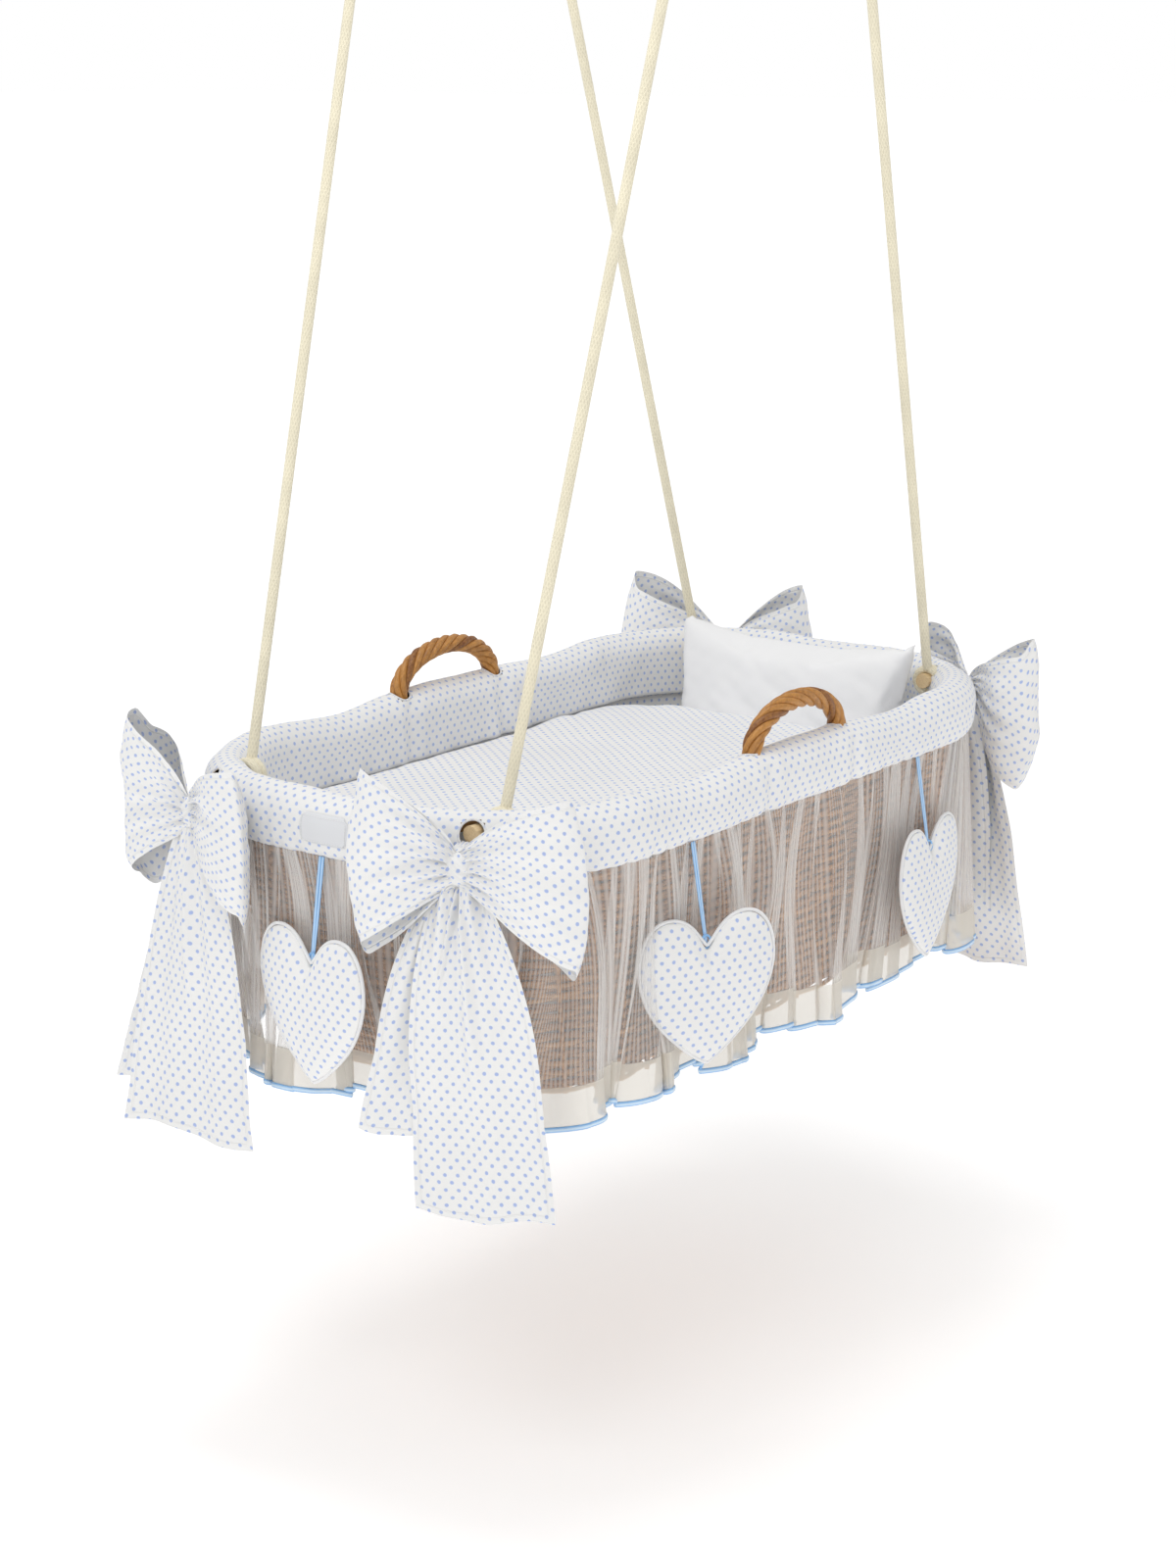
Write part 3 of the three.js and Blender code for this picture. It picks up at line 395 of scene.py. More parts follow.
def bake_modifiers(piece):
    """Applies what the modifiers make, and leaves a plain mesh."""
    bpy.context.view_layer.update()
    seen = piece.evaluated_get(bpy.context.evaluated_depsgraph_get())
    mesh = bpy.data.meshes.new_from_object(seen)
    piece.modifiers.clear()
    piece.data = mesh
    return piece


def join_pieces(name, pieces):
    with bpy.context.temp_override(active_object=pieces[0], selected_editable_objects=pieces,
                                   selected_objects=pieces, object=pieces[0]):
        bpy.ops.object.join()
    pieces[0].name = name
    return pieces[0]


def dress(piece, finish, body="basket"):
    """Gives a piece its finish and the body that it rides on."""
    piece.data.materials.clear()
    piece.data.materials.append(finish)
    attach(piece, body)
    return piece


def smooth_noise(points, seed, size, octaves=2):
    """Slow wobble between -1 and 1, from a few seeded waves."""
    dice = np.random.default_rng(seed)
    total = np.zeros(points.shape[:-1])
    for octave in range(octaves):
        for _ in range(5):
            direction = dice.normal(size=points.shape[-1])
            direction /= np.linalg.norm(direction)
            turn = points @ direction * (2 * math.pi / size * 2 ** octave)
            total += np.sin(turn + dice.uniform(0, 2 * math.pi)) / 5 / 2 ** octave
    return total


def ease(value):
    value = np.clip(value, 0, 1)
    return value * value * (3 - 2 * value)

# %% [markdown]
# ## Shader groups
#
# The same few effects make every finish here: a printed dot, the weave of a cloth, a
# slow change of tone, a sewn hem and the grain of willow. Each is a node group that
# is built once, so that a change to the weave shows on every cloth.

# %% A group with named sockets
SOCKETS = {"vector": "NodeSocketVector", "number": "NodeSocketFloat",
           "colour": "NodeSocketColor"}


def shader_group(name, inputs, outputs):
    """An empty group with its named sockets, and the nodes that stand for them."""
    tree = bpy.data.node_groups.new(name, "ShaderNodeTree")
    for label, kind, value in inputs:
        socket = tree.interface.new_socket(name=label, in_out="INPUT",
                                           socket_type=SOCKETS[kind])
        if value is not None:
            socket.default_value = value
    for label, kind in outputs:
        tree.interface.new_socket(name=label, in_out="OUTPUT", socket_type=SOCKETS[kind])
    given = tree.nodes.new("NodeGroupInput").outputs
    return tree, given, tree.nodes.new("NodeGroupOutput").inputs


# %% Printed dots
def make_dot_print():
    tree, given, result = shader_group(
        "dot_print",
        [("Cloth", "vector", None), ("Across", "number", 0.0115), ("Along", "number", 0.014),
         ("Dot", "number", 0.0018), ("Ground", "colour", WHITE),
         ("Ink", "colour", (0, 0, 1, 1))],
        [("Colour", "colour"), ("Mask", "number")],
    )
    wobble = node(tree, "ShaderNodeTexNoise", None, {"Vector": given["Cloth"], "Scale": 150.0})
    shift = vector_maths(tree, "SUBTRACT", wobble.outputs["Color"], (0.5, 0.5, 0.5))
    shift = vector_maths(tree, "MULTIPLY", shift, (0.0012, 0.0012, 0.0))
    place = vector_maths(tree, "ADD", given["Cloth"], shift)
    pitch = node(tree, "ShaderNodeCombineXYZ", None,
                 {0: given["Across"], 1: given["Along"], 2: 1.0}).outputs[0]
    cells = vector_maths(tree, "DIVIDE", place, pitch)
    flat = vector_maths(tree, "MULTIPLY", pitch, (1, 1, 0))
    reaches = []
    for half in ((0.0, 0.0, 0.0), (0.5, 0.5, 0.0)):
        inside = vector_maths(tree, "FRACTION", vector_maths(tree, "ADD", cells, half))
        centred = vector_maths(tree, "SUBTRACT", inside, (0.5, 0.5, 0.5))
        offset = vector_maths(tree, "MULTIPLY", centred, flat)
        reaches.append(vector_maths(tree, "LENGTH", offset))
    reach = maths(tree, "MINIMUM", *reaches)
    edge = maths(tree, "MULTIPLY", given["Dot"], 1.2)
    heart = maths(tree, "MULTIPLY", given["Dot"], 0.72)
    mask = remap(tree, reach, edge, heart, smooth=True)
    tree.links.new(mask, result["Mask"])
    tree.links.new(blend_colours(tree, mask, given["Ground"], given["Ink"]), result["Colour"])
    return tree


dot_print = make_dot_print()


# %% The weave of a cloth, and its tone
def make_weave():
    tree, given, result = shader_group(
        "weave", [("Cloth", "vector", None), ("Thread", "number", 0.0007)],
        [("Height", "number")])
    per_thread = maths(tree, "DIVIDE", math.pi, given["Thread"])
    turned = scaled(tree, given["Cloth"], per_thread)
    parts = node(tree, "ShaderNodeSeparateXYZ", None, {0: turned})
    warp, weft = (maths(tree, "SINE", parts.outputs[i]) for i in (0, 1))
    slub = node(tree, "ShaderNodeTexNoise", None, {"Vector": given["Cloth"], "Scale": 420.0})
    height = maths(tree, "ADD", maths(tree, "MULTIPLY", warp, weft), slub.outputs["Fac"])
    tree.links.new(height, result["Height"])
    return tree


def make_tone():
    tree, given, result = shader_group(
        "tone",
        [("Place", "vector", None), ("Colour", "colour", WHITE), ("Size", "number", 0.12),
         ("Amount", "number", 0.05)],
        [("Colour", "colour"), ("Height", "number")],
    )
    scale = maths(tree, "DIVIDE", 1.0, given["Size"])
    cloud = node(tree, "ShaderNodeTexNoise", None,
                 {"Vector": given["Place"], "Scale": scale, "Detail": 3.0}).outputs["Fac"]
    low = maths(tree, "SUBTRACT", 1.0, given["Amount"])
    shade = remap(tree, cloud, 0.3, 0.7, low)
    tree.links.new(scaled(tree, given["Colour"], shade), result["Colour"])
    tree.links.new(cloud, result["Height"])
    return tree


weave = make_weave()
tone = make_tone()


# %% A sewn hem, and the grain of willow
def make_hem():
    tree, given, result = shader_group(
        "hem",
        [("Edge", "number", 1.0), ("Seam", "number", 0.006), ("Width", "number", 0.0012)],
        [("Height", "number")])
    gap = maths(tree, "ABSOLUTE", maths(tree, "SUBTRACT", given["Edge"], given["Seam"]))
    tree.links.new(remap(tree, gap, high=given["Width"], smooth=True), result["Height"])
    return tree


def make_grain():
    tree, given, result = shader_group(
        "grain",
        [("Along", "vector", None), ("Light", "colour", WHITE),
         ("Dark", "colour", (0, 0, 0, 1)), ("Tone", "number", 0.5)],
        [("Colour", "colour"), ("Height", "number")],
    )
    fibre = node(tree, "ShaderNodeTexNoise", None,
                 {"Vector": given["Along"], "Scale": 1.0, "Detail": 4.0,
                  "Roughness": 0.6}).outputs["Fac"]
    mixed = maths(tree, "ADD", maths(tree, "MULTIPLY", fibre, 0.9),
                  maths(tree, "MULTIPLY", given["Tone"], 0.5))
    share = remap(tree, mixed, 0.4)
    tree.links.new(blend_colours(tree, share, given["Dark"], given["Light"]), result["Colour"])
    tree.links.new(fibre, result["Height"])
    return tree


hem_line = make_hem()
grain = make_grain()

# %% [markdown]
# ## Finishes
#
# Each finish is a Principled shader fed by the groups. Its plain numbers, such as
# sheen, stay on the shader itself. The cloth prints read a UV map in metres, because
# the dots follow the cloth round each fold.

# %% Colours
COTTON_WHITE = (0.88, 0.877, 0.865, 1)
DOT_BLUE = (0.40, 0.50, 0.79, 1)
PILLOW_WHITE = (0.91, 0.91, 0.915, 1)
PATCH_GREY = (0.76, 0.77, 0.79, 1)
ORGANZA_WHITE = (0.98, 0.965, 0.945, 1)
# The cream below is painted shade for the skirt's lowest band.
HEM_PAINTED_SHADE = (0.80, 0.755, 0.675, 1)
HEM_SHADE_TOP = 0.192  # how far down the skirt its painted shade band starts
SATIN_BLUE = (0.27, 0.55, 0.93, 1)
# a painted highlight: the lighter blue of the satin along the lines marked 'light'
SATIN_PAINTED_HIGHLIGHT = (0.72, 0.87, 1.0, 1)
ROPE_CREAM = (0.93, 0.86, 0.66, 1)
WILLOW_LIGHT = (0.68, 0.36, 0.135, 1)
WILLOW_DARK = (0.24, 0.095, 0.03, 1)
HANDLE_LIGHT = (0.56, 0.26, 0.06, 1)
HANDLE_DARK = (0.15, 0.045, 0.01, 1)
PEG_LIGHT = (0.86, 0.68, 0.42, 1)
PEG_DARK = (0.6, 0.4, 0.19, 1)
STEEL_GREY = (0.5, 0.51, 0.52, 1)
BRAID_ROUND = 10  # strands of a rope's braid, counted round it
BRAID_PITCH = 0.008


def cloth_place(tree):
    return node(tree, "ShaderNodeUVMap", {"uv_map": "cloth"}).outputs[0]


def use_group(tree, group, sockets):
    return node(tree, "ShaderNodeGroup", {"node_tree": group}, sockets).outputs


def toned(tree, colour, size, amount):
    """A colour that changes slowly over the piece, and the height of that change."""
    return use_group(tree, tone, {"Place": object_place(tree), "Colour": colour,
                                  "Size": size, "Amount": amount})


def threads(tree, place, thread=0.0007):
    return use_group(tree, weave, {"Cloth": place, "Thread": thread})["Height"]


def bump(tree, height, distance, strength=1.0, under=None):
    sockets = {"Height": height, "Distance": distance, "Strength": strength}
    if under is not None:
        sockets["Normal"] = under
    return node(tree, "ShaderNodeBump", None, sockets).outputs[0]


def finish_with(tree, shader, colour, normal):
    tree.links.new(colour, shader.inputs["Base Color"])
    tree.links.new(normal, shader.inputs["Normal"])


# %% Cotton, plain and dotted
def cotton_finish(name, place=cloth_place, dots=True, hem=False, ground=COTTON_WHITE):
    """Woven cotton; `place` gives what the print and the weave follow."""
    finish, tree, shader = start_finish(name, 0.85, 0.15)
    cloth = place(tree)
    colour = toned(tree, ground, 0.12, 0.035)["Colour"]
    if dots:
        colour = use_group(tree, dot_print, {"Cloth": cloth, "Ground": colour,
                                             "Ink": DOT_BLUE})["Colour"]
    normal = bump(tree, threads(tree, cloth), 0.00012, 0.5)
    if hem:
        groove = use_group(tree, hem_line, {"Edge": attribute(tree, "edge")})["Height"]
        normal = bump(tree, groove, 0.0006, 0.7, normal)
    finish_with(tree, shader, colour, normal)
    return finish


dotted = cotton_finish("dotted_cotton")
dotted_sash = cotton_finish("dotted_sash", hem=True)
white_cotton = cotton_finish("white_cotton", object_place, dots=False, ground=PILLOW_WHITE)
piping_cotton = cotton_finish("piping_cotton", dots=False, ground=PILLOW_WHITE)
patch_cotton = cotton_finish("patch_cotton", dots=False, ground=PATCH_GREY)


# %% Organza
def organza_finish():
    """Sheer cloth, denser along its folds; its lowest band is denser and cream, as painted
    shade.
    """
    finish, tree, shader = start_finish("organza", 0.6, 0.1)
    place = cloth_place(tree)
    drawn = node(tree, "ShaderNodeMapping", None, {"Vector": place, "Scale": (1.0, 0.12, 1.0)})
    streaks = node(tree, "ShaderNodeTexWave", None,
                   {"Vector": drawn.outputs[0], "Scale": 62.0, "Distortion": 9.0,
                    "Detail": 2.0, "Detail Scale": 0.35})
    sheer = remap(tree, streaks.outputs["Fac"], to_low=0.22, to_high=0.42)
    fold = maths(tree, "MULTIPLY", attribute(tree, "fold"), 0.92)
    drop = node(tree, "ShaderNodeSeparateXYZ", None, {0: place}).outputs[1]
    # Below this line the cloth is more opaque and cream: painted shade for the shaded far side
    # seen through the skirt.
    hem = remap(tree, drop, HEM_SHADE_TOP - 0.001, HEM_SHADE_TOP + 0.001)
    alpha = maths(tree, "MAXIMUM", maths(tree, "MAXIMUM", sheer, fold),
                  maths(tree, "MULTIPLY", hem, 0.72))
    tree.links.new(alpha, shader.inputs["Alpha"])
    finish_with(tree, shader, blend_colours(tree, hem, ORGANZA_WHITE, HEM_PAINTED_SHADE),
                bump(tree, threads(tree, place, 0.0005), 0.00008, 0.4))
    return finish


organza = organza_finish()


# %% Satin and rope
def satin_finish():
    finish, tree, shader = start_finish("satin", 0.32, 0.3)
    blue = toned(tree, SATIN_BLUE, 0.02, 0.12)["Colour"]
    # Lines marked 'light' are blended to a lighter blue, which is a painted highlight.
    finish_with(tree, shader, blend_colours(tree, attribute(tree, "light"), blue, SATIN_PAINTED_HIGHLIGHT),
                bump(tree, threads(tree, cloth_place(tree), 0.0006), 0.00008, 0.4))
    return finish


def rope_finish():
    finish, tree, shader = start_finish("cotton_rope", 0.9, 0.2)
    parts = node(tree, "ShaderNodeSeparateXYZ", None, {0: cloth_place(tree)})
    around = maths(tree, "MULTIPLY", parts.outputs[0], BRAID_ROUND * 2 * math.pi)
    along = maths(tree, "MULTIPLY", parts.outputs[1], 2 * math.pi / BRAID_PITCH)
    braid = maths(tree, "MAXIMUM", maths(tree, "SINE", maths(tree, "ADD", around, along)),
                  maths(tree, "SINE", maths(tree, "SUBTRACT", around, along)))
    shade = remap(tree, braid, -0.4, 0.7, 0.9)
    cream = toned(tree, ROPE_CREAM, 0.03, 0.1)["Colour"]
    finish_with(tree, shader, scaled(tree, cream, shade), bump(tree, braid, 0.0004, 0.6))
    return finish


satin = satin_finish()
cotton_rope = rope_finish()


# %% Willow, peg wood and steel
def willow_finish(name, light, dark, scale, with_tone=True):
    finish, tree, shader = start_finish(name, 0.45)
    drawn = node(tree, "ShaderNodeMapping", None,
                 {"Vector": object_place(tree), "Scale": scale})
    sockets = {"Along": drawn.outputs[0], "Light": light, "Dark": dark}
    if with_tone:
        sockets["Tone"] = attribute(tree, "tone")
    made = use_group(tree, grain, sockets)
    finish_with(tree, shader, made["Colour"], bump(tree, made["Height"], 0.0005, 0.6))
    return finish


def steel_finish():
    finish, tree, shader = start_finish("zinc_steel", 0.35)
    shader.inputs["Metallic"].default_value = 1.0
    grey = toned(tree, STEEL_GREY, 0.012, 0.2)
    tree.links.new(grey["Colour"], shader.inputs["Base Color"])
    rough = remap(tree, grey["Height"], to_low=0.22, to_high=0.5)
    tree.links.new(rough, shader.inputs["Roughness"])
    return finish


willow = willow_finish("willow", WILLOW_LIGHT, WILLOW_DARK, (160.0, 160.0, 400.0))
handle_willow = willow_finish("handle_willow", HANDLE_LIGHT, HANDLE_DARK,
                              (220.0, 500.0, 220.0))
peg_wood = willow_finish("peg_wood", PEG_LIGHT, PEG_DARK, (90.0, 700.0, 700.0), False)
steel = steel_finish()
print("finishes:", ", ".join(sorted(m.name for m in bpy.data.materials)))

# %% [markdown]
# ## Ropes
#
# A rope is a round tube along a straight path, because the ceiling and the basket
# hold it taut. Its braid is drawn on a UV map that has one turn across and metres
# along, so the lay keeps its pitch. The ends meet the knots that the model packs.

# %% A tube along a path
def tube_mesh(name, path, radius, sides=16, closed=False, shape=None):
    """A round tube with capped ends; `shape(around, along)` scales its radius."""
    path = np.asarray(path, float)
    ahead = np.roll(path, -1, 0) if closed else np.vstack([path[1:], 2 * path[-1] - path[-2]])
    behind = np.roll(path, 1, 0) if closed else np.vstack([2 * path[0] - path[1], path[:-1]])
    tangent = unit(ahead - behind)
    side = np.cross(tangent[0], (0.31, 0.27, 0.91))  # any way that no path here runs
    sides_at = []
    for direction in tangent:
        side = unit(side - direction * (side @ direction))
        sides_at.append(side)
    first = np.array(sides_at)
    second = np.cross(tangent, first)
    around = round_turn(sides)
    along = run_along(path)
    scale = np.ones((len(path), sides))
    if shape is not None:
        scale = shape(around[None, :], along[:, None])
    reach = radius * scale[..., None]
    points = (path[:, None] + first[:, None] * (np.cos(around)[None, :, None] * reach)
              + second[:, None] * (np.sin(around)[None, :, None] * reach))
    turns = np.linspace(0, 1, sides + 1)
    if closed:
        points = np.concatenate([points, points[:1]])
        step = np.linalg.norm(path[0] - path[-1])
        along = np.append(along, along[-1] + step)
    uv = np.stack(np.meshgrid(turns, along), -1)
    piece = grid_mesh(name, points, uv, wrap=True)
    if closed:
        weld(piece)
    else:
        cap_ends(piece, sides, len(path))
    return piece


# %% The four ropes
ROPE_DIAMETER = 0.010
LAY_STRANDS, LAY_PITCH, LAY_DEPTH = 8, 0.011, 0.012  # the depth is a share of the radius
PEG_DEPTH = 0.017
CORNERS = ("foot_left", "foot_right", "head_right", "head_left")
SIGNS = {name: (1 if "head" in name else -1, 1 if "left" in name else -1) for name in CORNERS}


def body_of(name):
    return frame["nodes"][name]["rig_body"]


def rope_ends(corner):
    """The middle of a rope's upper and lower end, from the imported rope."""
    points = read_points(frame["nodes"][f"rope_{corner}"])
    top = points[points[:, 2] > points[:, 2].max() - 0.004].mean(0)
    low = points[points[:, 2] < points[:, 2].min() + 0.25 * ROPE_DIAMETER]
    direction = unit(rope_foot(corner) - top)
    return top, top + direction * ((low.mean(0) - top) @ direction)


def rope_foot(corner):
    return box_middle(f"lower_knot_{corner}")


def make_rope(corner):
    top, low = rope_ends(corner)
    direction = unit(low - top)
    start, end = top - direction * 0.001, low + direction * 0.003
    count = 400
    path = start + (end - start) * np.linspace(0, 1, count)[:, None]

    def lay(around, along):
        strands, turns = LAY_STRANDS * around, along * 2 * math.pi / LAY_PITCH
        return 1 + LAY_DEPTH * np.maximum(np.sin(strands + turns), np.sin(strands - turns))

    rope = tube_mesh(f"rope_line_{corner}", path, ROPE_DIAMETER / 2, 24, shape=lay)
    dress(rope, cotton_rope, body_of(f"rope_{corner}"))
    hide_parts(f"rope_{corner}")


for corner in CORNERS:
    make_rope(corner)

# %% [markdown]
# ## Wicker
#
# The basket is woven: each willow rod runs round the wall in front of one stake and
# behind the next, and the row above it does the opposite. Geometry Nodes copy one rail
# down the wall, row by row, and swing every second row the other way. The same tree
# makes the stakes and the round woven base, because only the rail differs.

# %% What both rod trees share
def rod_tree(name, own):
    """A tree that copies a rail; `own` names the numbers that only this tree takes."""
    tree = bpy.data.node_groups.new(name, "GeometryNodeTree")
    sockets = [("Rail", "Geometry"), ("Copies", "Int"), ("Rod", "Float"), ("Sides", "Int"),
               ("Finish", "Material")] + [(label, "Float") for label in own]
    for label, kind in sockets:
        tree.interface.new_socket(name=label, in_out="INPUT", socket_type="NodeSocket" + kind)
    tree.interface.new_socket(name="Rods", in_out="OUTPUT",
                              socket_type="NodeSocketGeometry")
    given = tree.nodes.new("NodeGroupInput").outputs
    rails = node(tree, "GeometryNodeMeshToCurve", None, {0: given["Rail"]}).outputs[0]
    copies = node(tree, "GeometryNodeDuplicateElements", {"domain": "SPLINE"},
                  {"Geometry": rails, "Amount": given["Copies"]})
    return tree, given, copies.outputs[0], copies.outputs["Duplicate Index"]


def finish_rods(tree, given, curves, tones):
    """Keeps each point's tone, and gives the curves their round section and finish."""
    kept = node(tree, "GeometryNodeStoreNamedAttribute",
                {"data_type": "FLOAT", "domain": "POINT"},
                {"Geometry": curves, "Name": "tone", "Value": tones}).outputs[0]
    ring = node(tree, "GeometryNodeCurvePrimitiveCircle", None,
                {"Resolution": given["Sides"], "Radius": given["Rod"]}).outputs[0]
    tubes = node(tree, "GeometryNodeCurveToMesh", None,
                 {"Curve": kept, "Profile Curve": ring, "Fill Caps": True}).outputs[0]
    solid = node(tree, "GeometryNodeRealizeInstances", None, {0: tubes}).outputs[0]
    smooth = node(tree, "GeometryNodeSetShadeSmooth", None, {"Geometry": solid}).outputs[0]
    dressed = node(tree, "GeometryNodeSetMaterial", None,
                   {"Geometry": smooth, "Material": given["Finish"]}).outputs[0]
    tree.links.new(dressed, tree.nodes.new("NodeGroupOutput").inputs["Rods"])
    return tree


def stored(tree, label, kind="FLOAT_VECTOR"):
    return node(tree, "GeometryNodeInputNamedAttribute", {"data_type": kind},
                {"Name": label}).outputs[0]


def chance(tree, copy, low, seed):
    """A number from `low` to 1 for each copy."""
    return node(tree, "FunctionNodeRandomValue", {"data_type": "FLOAT"},
                {"Min": low, "Max": 1.0, "ID": copy, "Seed": seed}).outputs["Value"]


# %% The tree that weaves rods
def woven_rods_tree():
    tree, given, curves, row = rod_tree("woven_rods", ("Depth", "Unevenness"))
    share = maths(tree, "DIVIDE", maths(tree, "ADD", row, 0.5), given["Copies"])
    place = node(tree, "GeometryNodeInputPosition").outputs[0]
    between = node(tree, "ShaderNodeMix", {"data_type": "VECTOR"},
                   {0: share, 4: place, 5: stored(tree, "foot")}).outputs[1]
    beat = maths(tree, "ADD", stored(tree, "beat", "FLOAT"), row)
    side = maths(tree, "COSINE", maths(tree, "MULTIPLY", beat, math.pi))
    swing = scaled(tree, stored(tree, "out"), maths(tree, "MULTIPLY", side, given["Depth"]))
    wander = node(tree, "ShaderNodeTexNoise", {"noise_dimensions": "4D"},
                  {"Vector": place, "W": maths(tree, "MULTIPLY", row, 3.7), "Scale": 9.0})
    drift = maths(tree, "ADD", maths(tree, "SUBTRACT", wander.outputs["Fac"], 0.5),
                  maths(tree, "MULTIPLY", chance(tree, row, -1.0, 7), 0.15))
    lift = node(tree, "ShaderNodeCombineXYZ", None,
                {2: maths(tree, "MULTIPLY", drift, given["Unevenness"])}).outputs[0]
    moved = vector_maths(tree, "ADD", vector_maths(tree, "ADD", between, swing), lift)
    laid = node(tree, "GeometryNodeSetPosition", None,
                {"Geometry": curves, "Position": moved}).outputs[0]
    blot = node(tree, "ShaderNodeTexNoise", None, {"Vector": moved, "Scale": 14.0})
    tones = maths(tree, "ADD", maths(tree, "MULTIPLY", chance(tree, row, 0.0, 21), 0.6),
                  maths(tree, "MULTIPLY", blot.outputs["Fac"], 0.6))
    return finish_rods(tree, given, laid, tones)


def grow(piece, tree, values):
    """Runs a node tree on a piece, by socket identifier, and leaves a plain mesh."""
    modifier = piece.modifiers.new("grow", "NODES")
    modifier.node_group = tree
    for item in tree.interface.items_tree:
        if item.item_type == "SOCKET" and item.in_out == "INPUT" and item.name in values:
            modifier[item.identifier] = values[item.name]
    return bake_modifiers(piece)


def rails_mesh(name, rails, closed, values):
    """Rails as bare edges; `values` holds a number or a vector for each point."""
    edges, first = [], 0
    for rail in rails:
        last = first + len(rail) - 1
        edges += [(i, i + 1) for i in range(first, last)]
        if closed:
            edges.append((last, first))
        first = last + 1
    mesh = bpy.data.meshes.new(name)
    mesh.from_pydata(np.concatenate(rails).tolist(), edges, [])
    for key, value in values.items():
        store(mesh, key, value, "FLOAT" if np.ndim(value) == 1 else "FLOAT_VECTOR")
    return link(name, mesh)


def straight_rods(name, rails, rod):
    """Plain rods along straight rails."""
    points = np.concatenate(rails)
    piece = rails_mesh(name, rails, False, {"foot": points, "out": np.zeros_like(points),
                                            "beat": np.zeros(len(points))})
    return grow(piece, weave_tree, {"Copies": 1, "Depth": 0.0, "Rod": rod,
                                    "Unevenness": 0.0, "Sides": 8, "Finish": willow})


weave_tree = woven_rods_tree()

# %% The wall
STAKES = 52
POINTS_PER_STAKE = 6
WALL_MIDDLE = 0.005  # from the wall's outer face to the middle of its rods
WALL_TOP = rim_high.z - 0.002
WALL_FOOT = rim_low.z + 0.003
BASE_CORNER = 0.125
BASE_HALF_X = 0.365
BASE_HALF_Y = 0.201
CORE_HALF = np.array([CORE_X, CORE_Y])
BASE_CORE_HALF = np.array([BASE_HALF_X, BASE_HALF_Y]) - BASE_CORNER


def wall_outline(way, foot):
    """The wall's middle line at its top, or at its foot where the basket is narrow."""
    core, out = round_rim(way)
    if foot:
        core = core / CORE_HALF * BASE_CORE_HALF
        return with_height(core + out * (BASE_CORNER - WALL_MIDDLE), WALL_FOOT)
    return with_height(core + out * (RIM_CORNER - WALL_MIDDLE), WALL_TOP)


def weave_ways():
    """Ways round the rim for a woven rail, and the beat that passes the stakes."""
    number = np.arange(STAKES * POINTS_PER_STAKE)
    return number / len(number) * RIM_LENGTH, number / POINTS_PER_STAKE


def make_wall():
    way, beat = weave_ways()
    rail = rails_mesh("woven_wall", [wall_outline(way, False)], True,
                      {"foot": wall_outline(way, True),
                       "out": with_height(round_rim(way)[1], 0), "beat": beat})
    return grow(rail, weave_tree, {"Copies": 50, "Depth": 0.0026, "Rod": 0.0024,
                                   "Unevenness": 0.004, "Sides": 5, "Finish": willow})


def make_stakes():
    way = np.arange(STAKES) / STAKES * RIM_LENGTH
    share = np.linspace(0, 1, 5)[:, None]
    rails = [top + (foot - top) * share
             for top, foot in zip(wall_outline(way, False), wall_outline(way, True))]
    return straight_rods("wall_stakes", rails, 0.0026)


wicker = join_pieces("woven_wall", [make_wall(), make_stakes()])
dress(wicker, willow, "basket")
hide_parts("wicker_wall")
print("woven wall:", len(wicker.data.polygons), "faces")


# %% The woven base
def make_base():
    """Flat rings, woven inwards from the wall's foot, over sticks to the middle line."""
    way, beat = weave_ways()
    height = box_middle("wicker_base")[2]
    outline = with_height(wall_outline(way, True)[:, :2], height)
    across = round_rim(way)[0][:, 0] / CORE_X * (BASE_HALF_X - BASE_HALF_Y)
    middle = np.stack([across, np.zeros_like(way), np.full_like(way, height)], 1)
    up = np.tile([0.0, 0.0, 1.0], (len(way), 1))
    rings = rails_mesh("woven_base", [outline + (middle - outline) * 0.06], True,
                       {"foot": middle, "out": up, "beat": beat})
    grow(rings, weave_tree, {"Copies": 38, "Depth": 0.0022, "Rod": 0.0023,
                             "Unevenness": 0.0, "Sides": 5, "Finish": willow})
    share = np.linspace(0.04, 1, 4)[:, None]
    sticks = [outline[i] + (middle[i] - outline[i]) * share
              for i in range(0, len(way), POINTS_PER_STAKE)]
    return join_pieces("woven_base", [rings, straight_rods("base_sticks", sticks, 0.0024)])


woven_base = make_base()
dress(woven_base, willow, "basket")
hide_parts("wicker_base")
print("woven base:", len(woven_base.data.polygons), "faces")

# %% [markdown]
# ## Handles
#
# Each handle is a hank of thin willow rods, twisted like a rope and bent into an arch.
# A second node tree copies the arch once for each rod and winds the copies round it,
# so the number of rods and turns can be matched to the real thing.

# %% The tree that twists rods
def twisted_rods_tree():
    tree, given, curves, number = rod_tree("twisted_rods", ("Turns", "Lay"))
    share = maths(tree, "DIVIDE", number, given["Copies"])
    run = maths(tree, "MULTIPLY", stored(tree, "along", "FLOAT"), given["Turns"])
    angle = maths(tree, "MULTIPLY", maths(tree, "ADD", share, run), 2 * math.pi)
    place = node(tree, "GeometryNodeInputPosition").outputs[0]
    breath = node(tree, "ShaderNodeTexNoise", {"noise_dimensions": "4D"},
                  {"Vector": place, "W": maths(tree, "MULTIPLY", number, 5.3), "Scale": 40.0})
    swell = maths(tree, "ADD", 0.9, maths(tree, "MULTIPLY", breath.outputs["Fac"], 0.2))
    lay = maths(tree, "MULTIPLY", given["Lay"], swell)
    parts = [scaled(tree, stored(tree, label),
                    maths(tree, "MULTIPLY", maths(tree, function, angle), lay))
             for label, function in (("side", "COSINE"), ("up", "SINE"))]
    wound = node(tree, "GeometryNodeSetPosition", None,
                 {"Geometry": curves, "Offset": vector_maths(tree, "ADD", *parts)}).outputs[0]
    return finish_rods(tree, given, wound, chance(tree, number, 0.0, 3))


twist_tree = twisted_rods_tree()
HANDLE_HALF = 0.075
HANDLE_RADIUS = 0.009
HANDLE_SINK = 0.012  # how far its ends go down into the border


